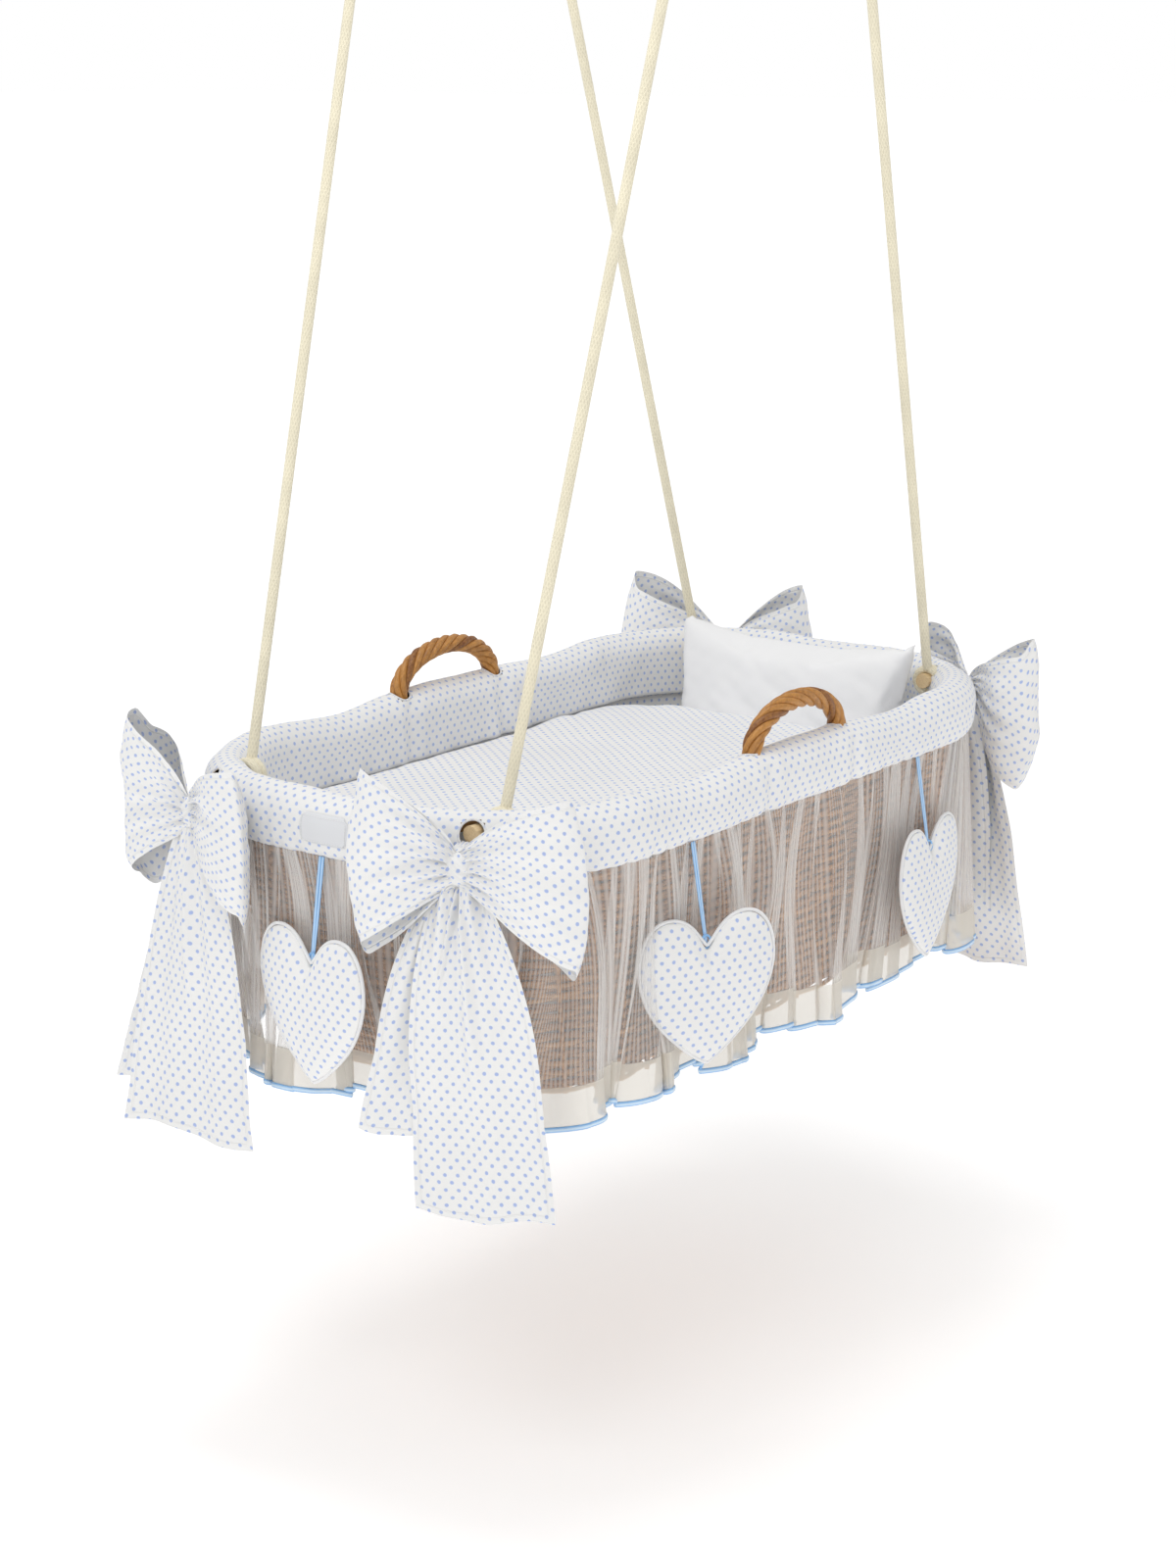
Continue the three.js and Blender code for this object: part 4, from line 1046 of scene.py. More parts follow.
def make_handle(side):
    name = f"handle_{side}"
    low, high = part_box(name)
    rise = high.z - HANDLE_RADIUS - low.z
    turn = np.linspace(math.pi, 0, 90)
    arch = np.stack([HANDLE_HALF * np.cos(turn), np.full(90, (low.y + high.y) / 2),
                     low.z + rise * np.sin(turn)], 1)
    sink = (0, 0, HANDLE_SINK)
    path = np.concatenate([arch[:1] - sink, arch, arch[-1:] - sink])
    across = np.tile([0.0, 1.0, 0.0], (len(path), 1))
    up = np.cross(unit(np.gradient(path, axis=0)), across)
    along = run_along(path)
    hank = rails_mesh(f"twisted_{name}", [path], False,
                      {"side": across, "up": up, "along": along / along[-1]})
    grow(hank, twist_tree, {"Copies": 6, "Turns": -2.2 if side == "left" else 2.2,
                            "Lay": HANDLE_RADIUS - 0.0028, "Rod": 0.0034, "Sides": 10,
                            "Finish": handle_willow})
    dress(hank, handle_willow, "basket")
    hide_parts(name)
    print(name, len(hank.data.polygons), "faces")


make_handle("left")
make_handle("right")

# %% [markdown]
# ## The rim cover
#
# The cover is a padded tube of dotted cotton over the border. Its section goes up the
# outside, over the crest and down the inside as a flap. It is swept round the rim as
# one closed skin, then pulled about: it sags between handles and corners, and it
# gathers in small puckers where the skirt is sewn on.

# %% The cover's section
CREST_RADIUS = 0.157
HEM_HEIGHT = -0.057
FLAP_HEIGHT = -0.072


def arc(centre, reach, start, end, count):
    turn = np.radians(np.linspace(start, end, count))
    return np.stack([centre[0] + reach[0] * np.cos(turn),
                     centre[1] + reach[1] * np.sin(turn)], 1)


def section_points():
    """Radius and height round the cover, from its inner hem outwards and over."""
    parts = [
        np.array([(0.1665, -0.0560), (0.1700, -0.0572), (0.1740, -0.0565), (0.1772, -0.0530),
                  (0.1790, -0.0480), (0.1800, -0.0410), (0.1803, -0.0350)]),
        arc((CREST_RADIUS, -0.030), (0.0232, 0.030), 0, 90, 13),
        arc((CREST_RADIUS, -0.026), (-0.020, 0.026), 90, 0, 11)[1:],
        np.array([(0.1366, -0.0330), (0.1364, -0.0400), (0.1362, -0.0480), (0.1360, -0.0560),
                  (0.1358, -0.0640), (0.1352, -0.0700), (0.1370, -0.0722), (0.1395, -0.0700)]),
        np.array([(0.1405, -0.0400), (0.1450, -0.0200), (0.1570, -0.0100), (0.1665, -0.0200)]),
    ]
    return np.concatenate(parts)


def respace(points, spacing):
    """Evenly spaced points round a closed line, and how far along each lies."""
    line = np.vstack([points, points[:1]])
    along = run_along(line)
    at = np.linspace(0, along[-1], int(round(along[-1] / spacing)) + 1)
    return read_line(line, along, at)[:-1], at


def read_line(line, along, at):
    return np.stack([np.interp(at, along, column) for column in line.T], 1)


cover_section, cover_along = respace(section_points(), 0.0036)
print("cover section:", len(cover_section), "points")

# %% Puckers, sag and seams
HANDLE_SAG, END_SAG = 0.0065, 0.002
HEM_PUCKER, FLAP_PUCKER = 0.0020, 0.0016
PADDING_SWELL, CREST_SWELL = 0.0024, 0.0012
HANDLE_FOLD, HANDLE_CREASE = 0.0028, 0.0013
SEAM_DEPTH = 0.0010
SIDE_Y, END_X = 0.3, 0.5  # any points well outside the long sides and the ends
HANDLE_WAYS = [way_at(sx * HANDLE_HALF, sy * SIDE_Y) for sy in (1, -1) for sx in (1, -1)]
SEAM_WAYS = STOPS[1:-1]


def ring_gap(way, place):
    """Signed distance round the rim from `place`."""
    return (way - place + RIM_LENGTH / 2) % RIM_LENGTH - RIM_LENGTH / 2


def cover_sag(way):
    """How far the crest sinks between the corners and the handles."""
    sag = np.zeros_like(way)
    for side in (1, -1):
        beside_handle = np.abs(ring_gap(way, way_at(0, side * SIDE_Y))) - 0.165
        sag += HANDLE_SAG * np.exp(-(beside_handle / 0.06) ** 2)
    for side in (1, -1):
        sag += END_SAG * np.exp(-(ring_gap(way, way_at(side * END_X, 0)) / 0.05) ** 2)
    return sag


def gathers(way, seed, size=0.017):
    """Uneven little puckers round the hem, between -1 and 1."""
    return smooth_noise(rim_circle(way), seed, size, 3)


def cover_shape(way, radius, height):
    """The cover's skin; all three are grids of one shape, as for rim_points."""
    radius, height = radius.copy(), height.copy()
    outer = ease((radius - CREST_RADIUS) / 0.014)
    inner = ease((CREST_RADIUS - radius) / 0.014)
    high = ease((height + 0.05) / 0.03)
    low = 1 - ease((height - HEM_HEIGHT - 0.002) / 0.016)
    height -= cover_sag(way) * high
    radius += HEM_PUCKER * outer * low * gathers(way, 11)
    flap_low = 1 - ease((height - FLAP_HEIGHT) / 0.03)
    radius += FLAP_PUCKER * inner * flap_low * gathers(way, 12, 0.045)
    wobble = smooth_noise(with_height(rim_circle(way), height), 13, 0.11, 3)
    radius += PADDING_SWELL * wobble * (outer - inner * 0.8)
    height += CREST_SWELL * wobble * high
    for place in HANDLE_WAYS:
        gap = ring_gap(way, place)
        fold = np.exp(-(gap / 0.007) ** 2) * np.where(height < -0.012, 1, 0.2)
        radius -= HANDLE_FOLD * fold * (outer - inner)
        crease = sum(np.exp(-((gap - beside) / 0.006) ** 2) for beside in (0.017, -0.019))
        radius += HANDLE_CREASE * crease * (outer - inner)
    for place in SEAM_WAYS:
        seam = np.exp(-(ring_gap(way, place) / 0.0022) ** 2)
        radius -= SEAM_DEPTH * seam * (outer - inner)
        height -= SEAM_DEPTH * seam * high
    return rim_points(way, radius, height)


# %% Holes for ropes, pegs and handles
ROPE_SLOT = (0.0118, 0.0140)  # half its size round the rim, and along the section
PEG_HOLE = (0.0122, 0.0142)
HANDLE_HOLE = (0.0108, 0.0108)
ROPE_SPOT = (0.1395, -0.014)  # the hole's middle, as radius and height
PEG_SPOT = (0.1785, -0.0165)
HANDLE_SPOT = (0.154, -0.001)
HOLE_INSIDE, HOLE_NEAR = 0.83, 0.17  # cut below this share of a hole, drawn to its edge
HOLE_EDGE = 0.0012


def cover_holes():
    """Middle and half sizes of each hole, as way round and length along the section."""
    along = cover_along[:-1]
    holes = []

    def place(radius, height):
        reach = (cover_section[:, 0] - radius) ** 2 + (cover_section[:, 1] - height) ** 2
        return along[np.argmin(reach)]

    for corner in CORNERS:
        sx, sy = SIGNS[corner]
        centre = SIGNS[corner] * CORE_HALF
        outwards = unit(rope_foot(corner)[:2] - centre)
        slot_way = way_at(*(centre + outwards * COVER_RADIUS))
        holes.append((slot_way, place(*ROPE_SPOT), *ROPE_SLOT))
        low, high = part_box(f"peg_{corner}")
        tip = np.array([sx * max(abs(low.x), abs(high.x)), (low.y + high.y) / 2])
        beside = (tip[0] + sx * 0.004, tip[1] * 1.03)
        holes.append((way_at(*beside), place(*PEG_SPOT), *PEG_HOLE))
    for sx, sy in ((1, 1), (1, -1), (-1, 1), (-1, -1)):
        way = way_at(sx * HANDLE_HALF, sy * SIDE_Y)
        holes.append((way, place(*HANDLE_SPOT), *HANDLE_HOLE))
    return holes


holes = cover_holes()
COLUMNS = 640
SECTION_R = np.append(cover_section[:, 0], cover_section[0, 0])
SECTION_Z = np.append(cover_section[:, 1], cover_section[0, 1])


def on_section(along):
    return np.interp(along, cover_along, SECTION_R), np.interp(along, cover_along, SECTION_Z)


def make_cover():
    """A closed tube of cloth; grid points by a hole's edge are drawn onto that edge."""
    ways, alongs = np.meshgrid(np.arange(COLUMNS) / COLUMNS * RIM_LENGTH, cover_along[:-1])
    inside = np.zeros(ways.shape, bool)
    for middle, at, half_way, half_along in holes:
        across = ring_gap(ways, middle) / half_way
        down = (alongs - at) / half_along
        reach = np.hypot(across, down)
        scale = np.where(np.abs(reach - 1) < HOLE_NEAR, 1 / np.maximum(reach, 1e-6), 1)
        ways = np.where(scale == 1, ways, middle + across * half_way * scale)
        alongs = np.where(scale == 1, alongs, at + down * half_along * scale)
        inside |= reach < HOLE_INSIDE
    points = cover_shape(ways, *on_section(alongs))
    steps = np.arange(COLUMNS + 1) / COLUMNS * RIM_LENGTH
    uv = np.stack(np.meshgrid(steps, cover_along), -1)
    uv[:-1, :-1] = np.stack([ways, alongs], -1)
    points = np.concatenate([points, points[:1]])
    inside = np.concatenate([inside, inside[:1]])
    cover = grid_mesh("dotted_cover", points, uv, wrap=True, skip=inside)
    weld(cover)
    return cover


def hole_edge(number, middle, at, half_way, half_along):
    """A rolled edge of cloth round one hole."""
    turn = round_turn(40)
    line = cover_shape((middle + half_way * np.cos(turn))[None],
                       *(v[None] for v in on_section(at + half_along * np.sin(turn))))[0]
    return tube_mesh(f"hole_edge_{number}", line, HOLE_EDGE, 8, closed=True)


cover = make_cover()
cover = join_pieces("dotted_cover", [cover] + [hole_edge(i, *h) for i, h in enumerate(holes)])
dress(cover, dotted, "basket")
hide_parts("rim_cover")
print("cover:", len(cover.data.polygons), "faces")

# %% [markdown]
# ## The liner
#
# Below the flap, a thin cotton liner keeps the bedding off the willow. It follows the
# inside of the wall as one sheet and tucks under the mattress.

# %% A sheet inside the wall
LINER_COLUMNS = 360
LINER_GAP = 0.0118  # inwards from the wall's outer face
liner_low, liner_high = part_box("inner_liner")


def make_liner():
    way = np.linspace(0, RIM_LENGTH, LINER_COLUMNS + 1)
    core, out = round_rim(way[:-1])
    low_core = core / CORE_HALF * BASE_CORE_HALF
    down = np.linspace(0, 1, 12)
    rows = []
    for share in down:
        height = liner_high.z + (liner_low.z + 0.002 - liner_high.z) * share
        fall = np.clip((WALL_TOP - height) / (WALL_TOP - WALL_FOOT), 0, 1)
        radius = RIM_CORNER + (BASE_CORNER - RIM_CORNER) * fall - LINER_GAP
        radius = radius + 0.0006 * gathers(way[:-1], 31, 0.09) * share * (1 - share)
        flat = core + (low_core - core) * fall + out * radius[:, None]
        rows.append(with_height(flat, height))
    uv = np.stack(np.meshgrid(way, down * (liner_high.z - liner_low.z)), -1)
    return grid_mesh("cotton_liner", np.array(rows), uv, wrap=True)


liner = make_liner()
dress(liner, dotted, "basket")
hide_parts("inner_liner")

# %% [markdown]
# ## The skirt
#
# The skirt is a long strip of organza, gathered to half its length under the cover's
# hem. Each pleat is a small Z: the cloth runs forward, doubles back behind itself and
# goes on. Where it is three layers deep it reads white, and between pleats the willow
# shows through, so the folds must be real and not drawn. It is one open sheet.

# %% Pleats along the rim
PLEATS = 96
WIDE_FOLDS = 17
SKIRT_TOP = CREST + HEM_HEIGHT + 0.0025
SKIRT_DROP = 0.228
SKIRT_RADIUS = 0.1715  # of its gathered edge, from the rim's core line
SKIRT_DRAW = 0.003  # how far its hem is drawn in
FOLD_SWAY, FOLD_STAND = 0.025, 0.0135  # of the wide folds, at the hem
PLEAT_TOP, PLEAT_SPREAD = 0.0016, 0.0085  # how far a pleat stands out, above and below
HEART_PRESS, BOW_PRESS = 0.012, 0.008  # how far hearts and bows press the skirt in
HEART_REACH, BOW_REACH = 0.062, 0.06  # how far to each side they press it


def pleat_table():
    """Where each pleat starts, its overlap and how far it stands out, all uneven."""
    dice = np.random.default_rng(5)
    widths = dice.uniform(0.5, 1.6, PLEATS) * np.where(dice.random(PLEATS) < 0.25, 1.5, 1.0)
    starts = np.concatenate([[0], np.cumsum(widths / widths.sum())]) * RIM_LENGTH
    overlap = dice.uniform(0.006, 0.017, PLEATS)
    stand = dice.uniform(0.4, 1.1, PLEATS)
    lean = dice.normal(0, 0.010, PLEATS)
    spread = dice.uniform(0.0, 1.55, PLEATS)
    curl = dice.normal(0, 0.0075, PLEATS)
    return starts, overlap, stand, lean, spread, curl


(pleat_starts, pleat_overlap, pleat_stand, pleat_lean, pleat_spread,
 pleat_curl) = pleat_table()


def between_pleats(cloth, values):
    """A value of each pleat, eased from one pleat's middle to the next."""
    return np.interp(cloth, np.arange(PLEATS) + 0.5, values, period=PLEATS)


def press_by(way, places, width):
    press = np.zeros_like(way)
    for place in places:
        press = np.maximum(press, np.exp(-(ring_gap(way, place) / width) ** 2))
    return press


HEARTS = {"foot": (-1, 0), "head": (1, 0), "right_foot": (0, -1), "right_head": (0, -1),
          "left_foot": (0, 1), "left_head": (0, 1)}


def heart_way(name):
    return way_at(*box_middle(f"ribbon_{name}")[:2])


HEART_WAYS = [heart_way(name) for name in HEARTS]
BOW_ANGLE = math.radians(29)


def bow_place(corner, reach):
    """The point at a corner's bow, so far out from the middle of the corner's round."""
    sx, sy = SIGNS[corner]
    return (sx * (CORE_X + reach * math.cos(BOW_ANGLE)),
            sy * (CORE_Y + reach * math.sin(BOW_ANGLE)))


BOW_WAYS = [way_at(*bow_place(corner, COVER_RADIUS)) for corner in CORNERS]


def big_folds(flat):
    """Phase of the wide folds that the hem falls in, unevenly spaced."""
    turn = flat / RIM_LENGTH * 2 * math.pi
    return WIDE_FOLDS * turn + 1.1 * np.sin(3 * turn + 0.7) + 0.6 * np.sin(7 * turn + 2.0)


def skirt_grid(columns, rows):
    """Points of the organza and its flat place on the cloth, row by row."""
    cloth = np.arange(columns) / columns * PLEATS
    number = cloth.astype(int)
    phase = cloth - number
    width = np.diff(pleat_starts)[number]
    base = pleat_starts[number] + width * phase
    down = np.linspace(0, 1, rows)[:, None]
    grown = 0.9 + down ** 0.8 * (pleat_spread[number][None] - 0.9)
    swing = pleat_overlap[number][None] * grown * np.sin(2 * math.pi * phase)[None]
    swing = swing * (width / (width + 0.006))[None] * 1.15
    drift = between_pleats(cloth, pleat_lean)[None] * down * 1.2
    drift = drift + between_pleats(cloth, pleat_curl)[None] * np.sin(math.pi * down * 1.5)
    way = base[None] + swing + drift
    flat = np.broadcast_to(base[None], way.shape)
    press = press_by(flat, HEART_WAYS, HEART_REACH)
    bows = press_by(flat, BOW_WAYS, BOW_REACH)
    wide = big_folds(flat)
    room = 1 - 0.75 * press - 0.6 * bows
    way = way + FOLD_SWAY * down ** 1.3 * np.sin(wide) * room
    stand = pleat_stand[number][None]
    depth = PLEAT_TOP + PLEAT_SPREAD * down ** 0.8 * stand
    depth = depth * (1 - 0.45 * press * down - 0.35 * bows * down)
    wave = np.cos(2 * math.pi * phase)[None]
    slow = smooth_noise(with_height(rim_circle(flat), down * 0.12), 17, 0.21, 2)
    radius = SKIRT_RADIUS - SKIRT_DRAW * down + depth * wave + 0.004 * slow * down
    radius = radius - (HEART_PRESS * press + BOW_PRESS * bows) * down
    radius = radius + FOLD_STAND * down ** 1.2 * np.cos(wide) * room
    spot = np.stack(np.broadcast_arrays(cloth[None] * 0.05, down * 0.02), -1)
    fine = smooth_noise(spot, 23, 0.03, 3)
    radius = radius + 0.0006 * fine * (1 - down)
    hem = 0.005 * slow[-1] - 0.003 * np.cos(2 * math.pi * phase) * pleat_stand[number]
    hem = hem + 0.0055 * np.cos(wide[-1] - 0.6)
    height = SKIRT_TOP - CREST - (SKIRT_DROP + hem)[None] * down
    slope = np.gradient(way, axis=1) / (RIM_LENGTH / columns)
    slope[:, (0, -1)] = 1.0
    fold = np.exp(-(slope / 0.4) ** 2)
    return rim_points(way, radius, height), fold


SKIRT_COLUMNS = 2688
SKIRT_ROWS = 37


def round_and_back(line):
    """How far round a closed line each point lies, with the first again at the end."""
    return run_along(np.vstack([line, line[:1]]))


skirt_points, skirt_fold = skirt_grid(SKIRT_COLUMNS, SKIRT_ROWS)
hem_length = round_and_back(skirt_points[-1])
skirt_uv = np.stack(np.meshgrid(hem_length, np.linspace(0, SKIRT_DROP, SKIRT_ROWS)), -1)
skirt = grid_mesh("organza_skirt", skirt_points, skirt_uv, wrap=True)
store(skirt.data, "fold", skirt_fold)
dress(skirt, organza, "basket")
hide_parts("skirt")

# %% The blue binding
BINDING_HALF = 0.0027  # half its height
BINDING_THICK = 0.0013
BINDING_DROP = 0.0022  # below the hem's edge
BINDING_TAPE = 0.015


def make_binding():
    """A folded satin tape, closed all round, over the skirt's cut edge."""
    line = skirt_points[-1]
    out = unit(np.cross(unit(np.roll(line, -1, 0) - np.roll(line, 1, 0)), (0, 0, 1)))
    turn = round_turn(8)
    points = np.array([line + out * BINDING_THICK * math.cos(a) + np.array([0, 0, 1]) *
                       (BINDING_HALF * math.sin(a) - BINDING_DROP) for a in turn])
    points = np.concatenate([points, points[:1]])
    girth = np.linspace(0, BINDING_TAPE, len(points))
    uv = np.stack(np.meshgrid(hem_length, girth), -1)
    binding = grid_mesh("satin_binding", points, uv, wrap=True)
    # The tape's outermost middle line is marked for a painted highlight.
    light = np.zeros(points.shape[:2])
    light[(0, -1), :] = 1
    store(binding.data, "light", light)
    weld(binding)
    return binding


binding = make_binding()
dress(binding, satin, "basket")
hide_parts("skirt_binding")

# %% [markdown]
# ## The border under the cover
#
# A plaited crown of thick willow closes the wall's top and holds the pegs and handles.
# The twisting tree makes it too: its path is the closed rim, and the hank is drawn
# taller than it is wide.

# %% A plaited crown
BORDER_DEPTH = 0.0205  # from the crest to the middle of the plait


def make_border():
    count = 520
    way = np.arange(count) / count * RIM_LENGTH
    path = rim_points(way, np.full(count, CREST_RADIUS), -BORDER_DEPTH - cover_sag(way))
    crown = rails_mesh("plaited_border", [path], True,
                       {"side": with_height(round_rim(way)[1], 0) * 0.38,
                        "up": np.tile([0.0, 0.0, 1.25], (count, 1)),
                        "along": way / RIM_LENGTH})
    return grow(crown, twist_tree, {"Copies": 6, "Turns": 34.0, "Lay": 0.0078,
                                    "Rod": 0.0038, "Sides": 7, "Finish": willow})


border = make_border()
dress(border, willow, "basket")
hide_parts("wicker_border")
print("border:", len(border.data.polygons), "faces")

# %% [markdown]
# ## Bedding
#
# The mattress is a firm pad. The quilt and the pillow start as slightly flat shells and
# are then blown up with cloth pressure, because real filling pushes the cloth out
# between its seams and leaves it slack at the edges. A cap keeps each in its place.

# %% Blow up a cushion
def puff(piece, voxel, pressure, cap, frames, tension, bending):
    """Remesh, inflate with cloth pressure, cap the movement and leave a plain mesh."""
    remesh = piece.modifiers.new("remesh", "REMESH")
    remesh.mode = "VOXEL"
    remesh.voxel_size = voxel
    bake_modifiers(piece)
    before = read_points(piece)
    after = before
    after = simulate(piece, pressure, frames, tension, bending)
    move = after - before
    reach = np.linalg.norm(move, axis=1, keepdims=True)
    capped = cap * np.tanh(reach / cap) / np.maximum(reach, 1e-9)
    write_points(piece, before + move * capped)
    smooth = piece.modifiers.new("subdivision", "SUBSURF")
    smooth.levels = smooth.render_levels = 1
    bake_modifiers(piece)
    piece.data.shade_smooth()
    print(f"{piece.name}: moved up to {float(reach.max()) * 1000:.0f} mm, "
          f"{len(piece.data.polygons)} faces")


def simulate(piece, pressure, frames, tension, bending):
    """Where the piece's points are after some frames under pressure."""
    cloth = piece.modifiers.new("cloth", "CLOTH")
    made = cloth.settings
    made.quality = 6
    made.mass = 0.3
    made.tension_stiffness = made.compression_stiffness = tension
    made.shear_stiffness = tension * 0.5
    made.bending_stiffness = bending
    made.use_pressure = True
    made.uniform_pressure_force = pressure
    made.effector_weights.gravity = 0
    cloth.point_cache.frame_start = 1
    cloth.point_cache.frame_end = frames + 1
    for step in range(1, frames + 1):
        bpy.context.scene.frame_set(step)
    after = read_points(piece.evaluated_get(bpy.context.evaluated_depsgraph_get()))
    piece.modifiers.clear()
    bpy.context.scene.frame_set(1)
    return after


def planar_uv(piece, across, along):
    """UV in metres, from the mesh's own flat directions."""
    corners = np.empty(len(piece.data.loops), int)
    piece.data.loops.foreach_get("vertex_index", corners)
    uv = read_points(piece) @ np.array([across, along], float).T
    layer = piece.data.uv_layers.get("cloth") or piece.data.uv_layers.new(name="cloth")
    layer.data.foreach_set("uv", uv[corners].reshape(-1))


def move_points(piece, change):
    write_points(piece, change(read_points(piece)))


# %% A shell over a rounded rectangle
def slab_mesh(name, low, high, corner, rounding, crown):
    """A closed pad between two corners of its box, crowned in its middle."""
    middle = (np.array(low) + high) / 2
    half = (np.array(high) - low) / 2
    turn = round_turn(240)
    out = np.stack([np.cos(turn), np.sin(turn)], 1)
    core = np.sign(out) * (half[:2] - corner)
    outline = core * np.clip(np.abs(out) / 0.12, 0, 1) + out * corner
    near_edge = 1 - 0.1 * (1 - np.linspace(0, 1, 7)[1:]) ** 2
    shares = np.concatenate([np.linspace(0.004, 0.9, 16), near_edge])
    rows = []
    for side, order in ((-1, shares), (1, shares[::-1][1:])):
        for share in order:
            rim = np.clip((1 - share) / rounding, 0, 1)
            rise = np.sqrt(1 - (1 - rim) ** 2) * (1 - crown * share ** 2)
            rows.append(with_height(middle[:2] + outline * share,
                                    middle[2] + side * half[2] * rise))
    piece = grid_mesh(name, np.array(rows), wrap=True)
    cap_ends(piece, len(turn), len(rows))
    return piece


# %% Mattress and quilt
def make_mattress():
    low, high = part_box("mattress")
    pad = slab_mesh("cotton_mattress", low, high, corner=0.13, rounding=0.08, crown=0.02)
    planar_uv(pad, (1, 0, 0), (0, 1, 0))
    dress(pad, white_cotton, "mattress")
    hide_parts("mattress")


QUILT_LOW = (-0.3875, -0.1965)
QUILT_HIGH = (0.292, 0.1965)
QUILT_CORNER = 0.134
PEG_WAY = 0.150  # how far to each side of the middle the pegs lie
FLAP_INSIDE = 0.1350  # largest radius inside the cover's flap
FOOT_END, DENT = -0.337, 0.052  # where the quilt ends by a peg, and how much further on
CLEAR = 0.004  # what it keeps from the flap on the near side


def make_quilt():
    """The quilt fills the cradle as far as the pillow.

    It meets the cover's flap on the far side. At the foot end it stays clear of it,
    with a dent by each peg, so that it can be lifted past pegs and knots.
    """
    low, high = (np.array(corner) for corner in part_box("quilt"))
    low[:2], high[:2] = QUILT_LOW, QUILT_HIGH
    quilt = slab_mesh("dotted_quilt", low, high + (0, 0, 0.005), corner=QUILT_CORNER,
                      rounding=0.014, crown=0.012)
    puff(quilt, voxel=0.008, pressure=1.5, cap=0.006, frames=14, tension=14.0, bending=1.0)

    def tuck(points):
        bend = np.clip((points[:, 0] - high[0] + QUILT_CORNER) / QUILT_CORNER, 0, 0.92)
        narrowed = high[1] - QUILT_CORNER * (1 - np.sqrt(1 - bend ** 2))
        points[:, 1] *= 1 + (high[1] / narrowed - 1) * 0.9
        share = np.abs(points[:, 1]) / 0.2
        side = smooth_noise(points, 41, 0.19, 3)
        points[:, 2] += np.where(points[:, 2] > low[2] + 0.05, 0.0022 * side, 0)
        points[:, 1] *= 1 + 0.002 * side * share
        far_side = np.clip(0.5 + 3.7 * points[:, 0] + 7.5 * points[:, 1], 0, 1)
        points = hold_inside(points, wall_limit(points[:, 2]) - CLEAR * (1 - far_side))
        off_peg = np.abs(np.abs(points[:, 1]) - PEG_WAY)
        beside_peg = ease((off_peg - 0.018) / 0.018)
        unheld = np.where(beside_peg >= 1, 1, 0)
        points[:, 0] = np.maximum(points[:, 0], FOOT_END - DENT * beside_peg - unheld)
        return points

    move_points(quilt, tuck)
    planar_uv(quilt, (1, 0, 0), (0, 1, 0))
    dress(quilt, dotted, "quilt")
    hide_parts("quilt")


def wall_limit(height):
    """Largest radius from the rim's core line that stays inside the flap and liner."""
    fall = np.clip((WALL_TOP - height) / (WALL_TOP - WALL_FOOT), 0, 1)
    by_liner = RIM_CORNER - 0.0135 - 0.037 * fall
    return np.where(height > CREST - 0.075, FLAP_INSIDE, by_liner)


def hold_inside(points, limit):
    """Draws points in that lie further than `limit` from the rim's core line."""
    core = np.clip(points[:, :2], -CORE_HALF, CORE_HALF)
    gap = points[:, :2] - core
    keep = np.minimum(1, limit / np.maximum(np.linalg.norm(gap, axis=1), 1e-6))
    points[:, :2] = core + gap * keep[:, None]
    return points


make_mattress()
make_quilt()


# %% Pillow
PILLOW_LEAN = math.radians(10)
PILLOW_BACK = 0.392  # the cover's flap, which its back rests on
SIDES_DRAWN = 0.05  # its sides curve in between the corners


def make_pillow():
    middle = box_middle("pillow") * (1, 0, 1)
    half_wide, half_tall, half_thick = 0.157, 0.097, 0.024
    u, v = np.meshgrid(np.linspace(-1, 1, 61), np.linspace(-1, 1, 41))
    across = half_wide * u * (1 - SIDES_DRAWN * (1 - v ** 2))
    up = half_tall * v * (1 - SIDES_DRAWN * (1 - u ** 2))
    full = ((1 - np.abs(u) ** 3.2) * (1 - np.abs(v) ** 3.2)) ** 0.45
    front = np.stack([-half_thick * full, across, up], -1)
    back = np.stack([half_thick * full, across, up], -1)
    ring = np.concatenate([front, back[::-1]])
    piece = grid_mesh("white_pillow", ring)
    weld(piece, 0.0006)
    puff(piece, voxel=0.006, pressure=3.0, cap=0.013, frames=18, tension=9.0, bending=0.25)

    def place(points):
        crumple = smooth_noise(points * (1, 1, 1.4), 51, 0.085, 3)
        points[:, 0] += 0.0022 * crumple * np.sign(points[:, 0])
        x, z = points[:, 0].copy(), points[:, 2].copy()
        points[:, 0] = x * math.cos(PILLOW_LEAN) + z * math.sin(PILLOW_LEAN)
        points[:, 2] = z * math.cos(PILLOW_LEAN) - x * math.sin(PILLOW_LEAN)
        points = points + middle
        points[:, 0] = np.minimum(points[:, 0], PILLOW_BACK)
        return points

    move_points(piece, place)
    planar_uv(piece, (0, 1, 0), (0, 0, 1))
    dress(piece, white_cotton, "pillow")
    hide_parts("pillow")


make_pillow()

# %% [markdown]
# ## Hearts
#
# Six small hearts of the same cloth hang over the skirt, each on a narrow ribbon. One
# heart is cut, sewn and blown up, and then copied, because they come from one pattern.
# White piping runs in the seam round the edge.

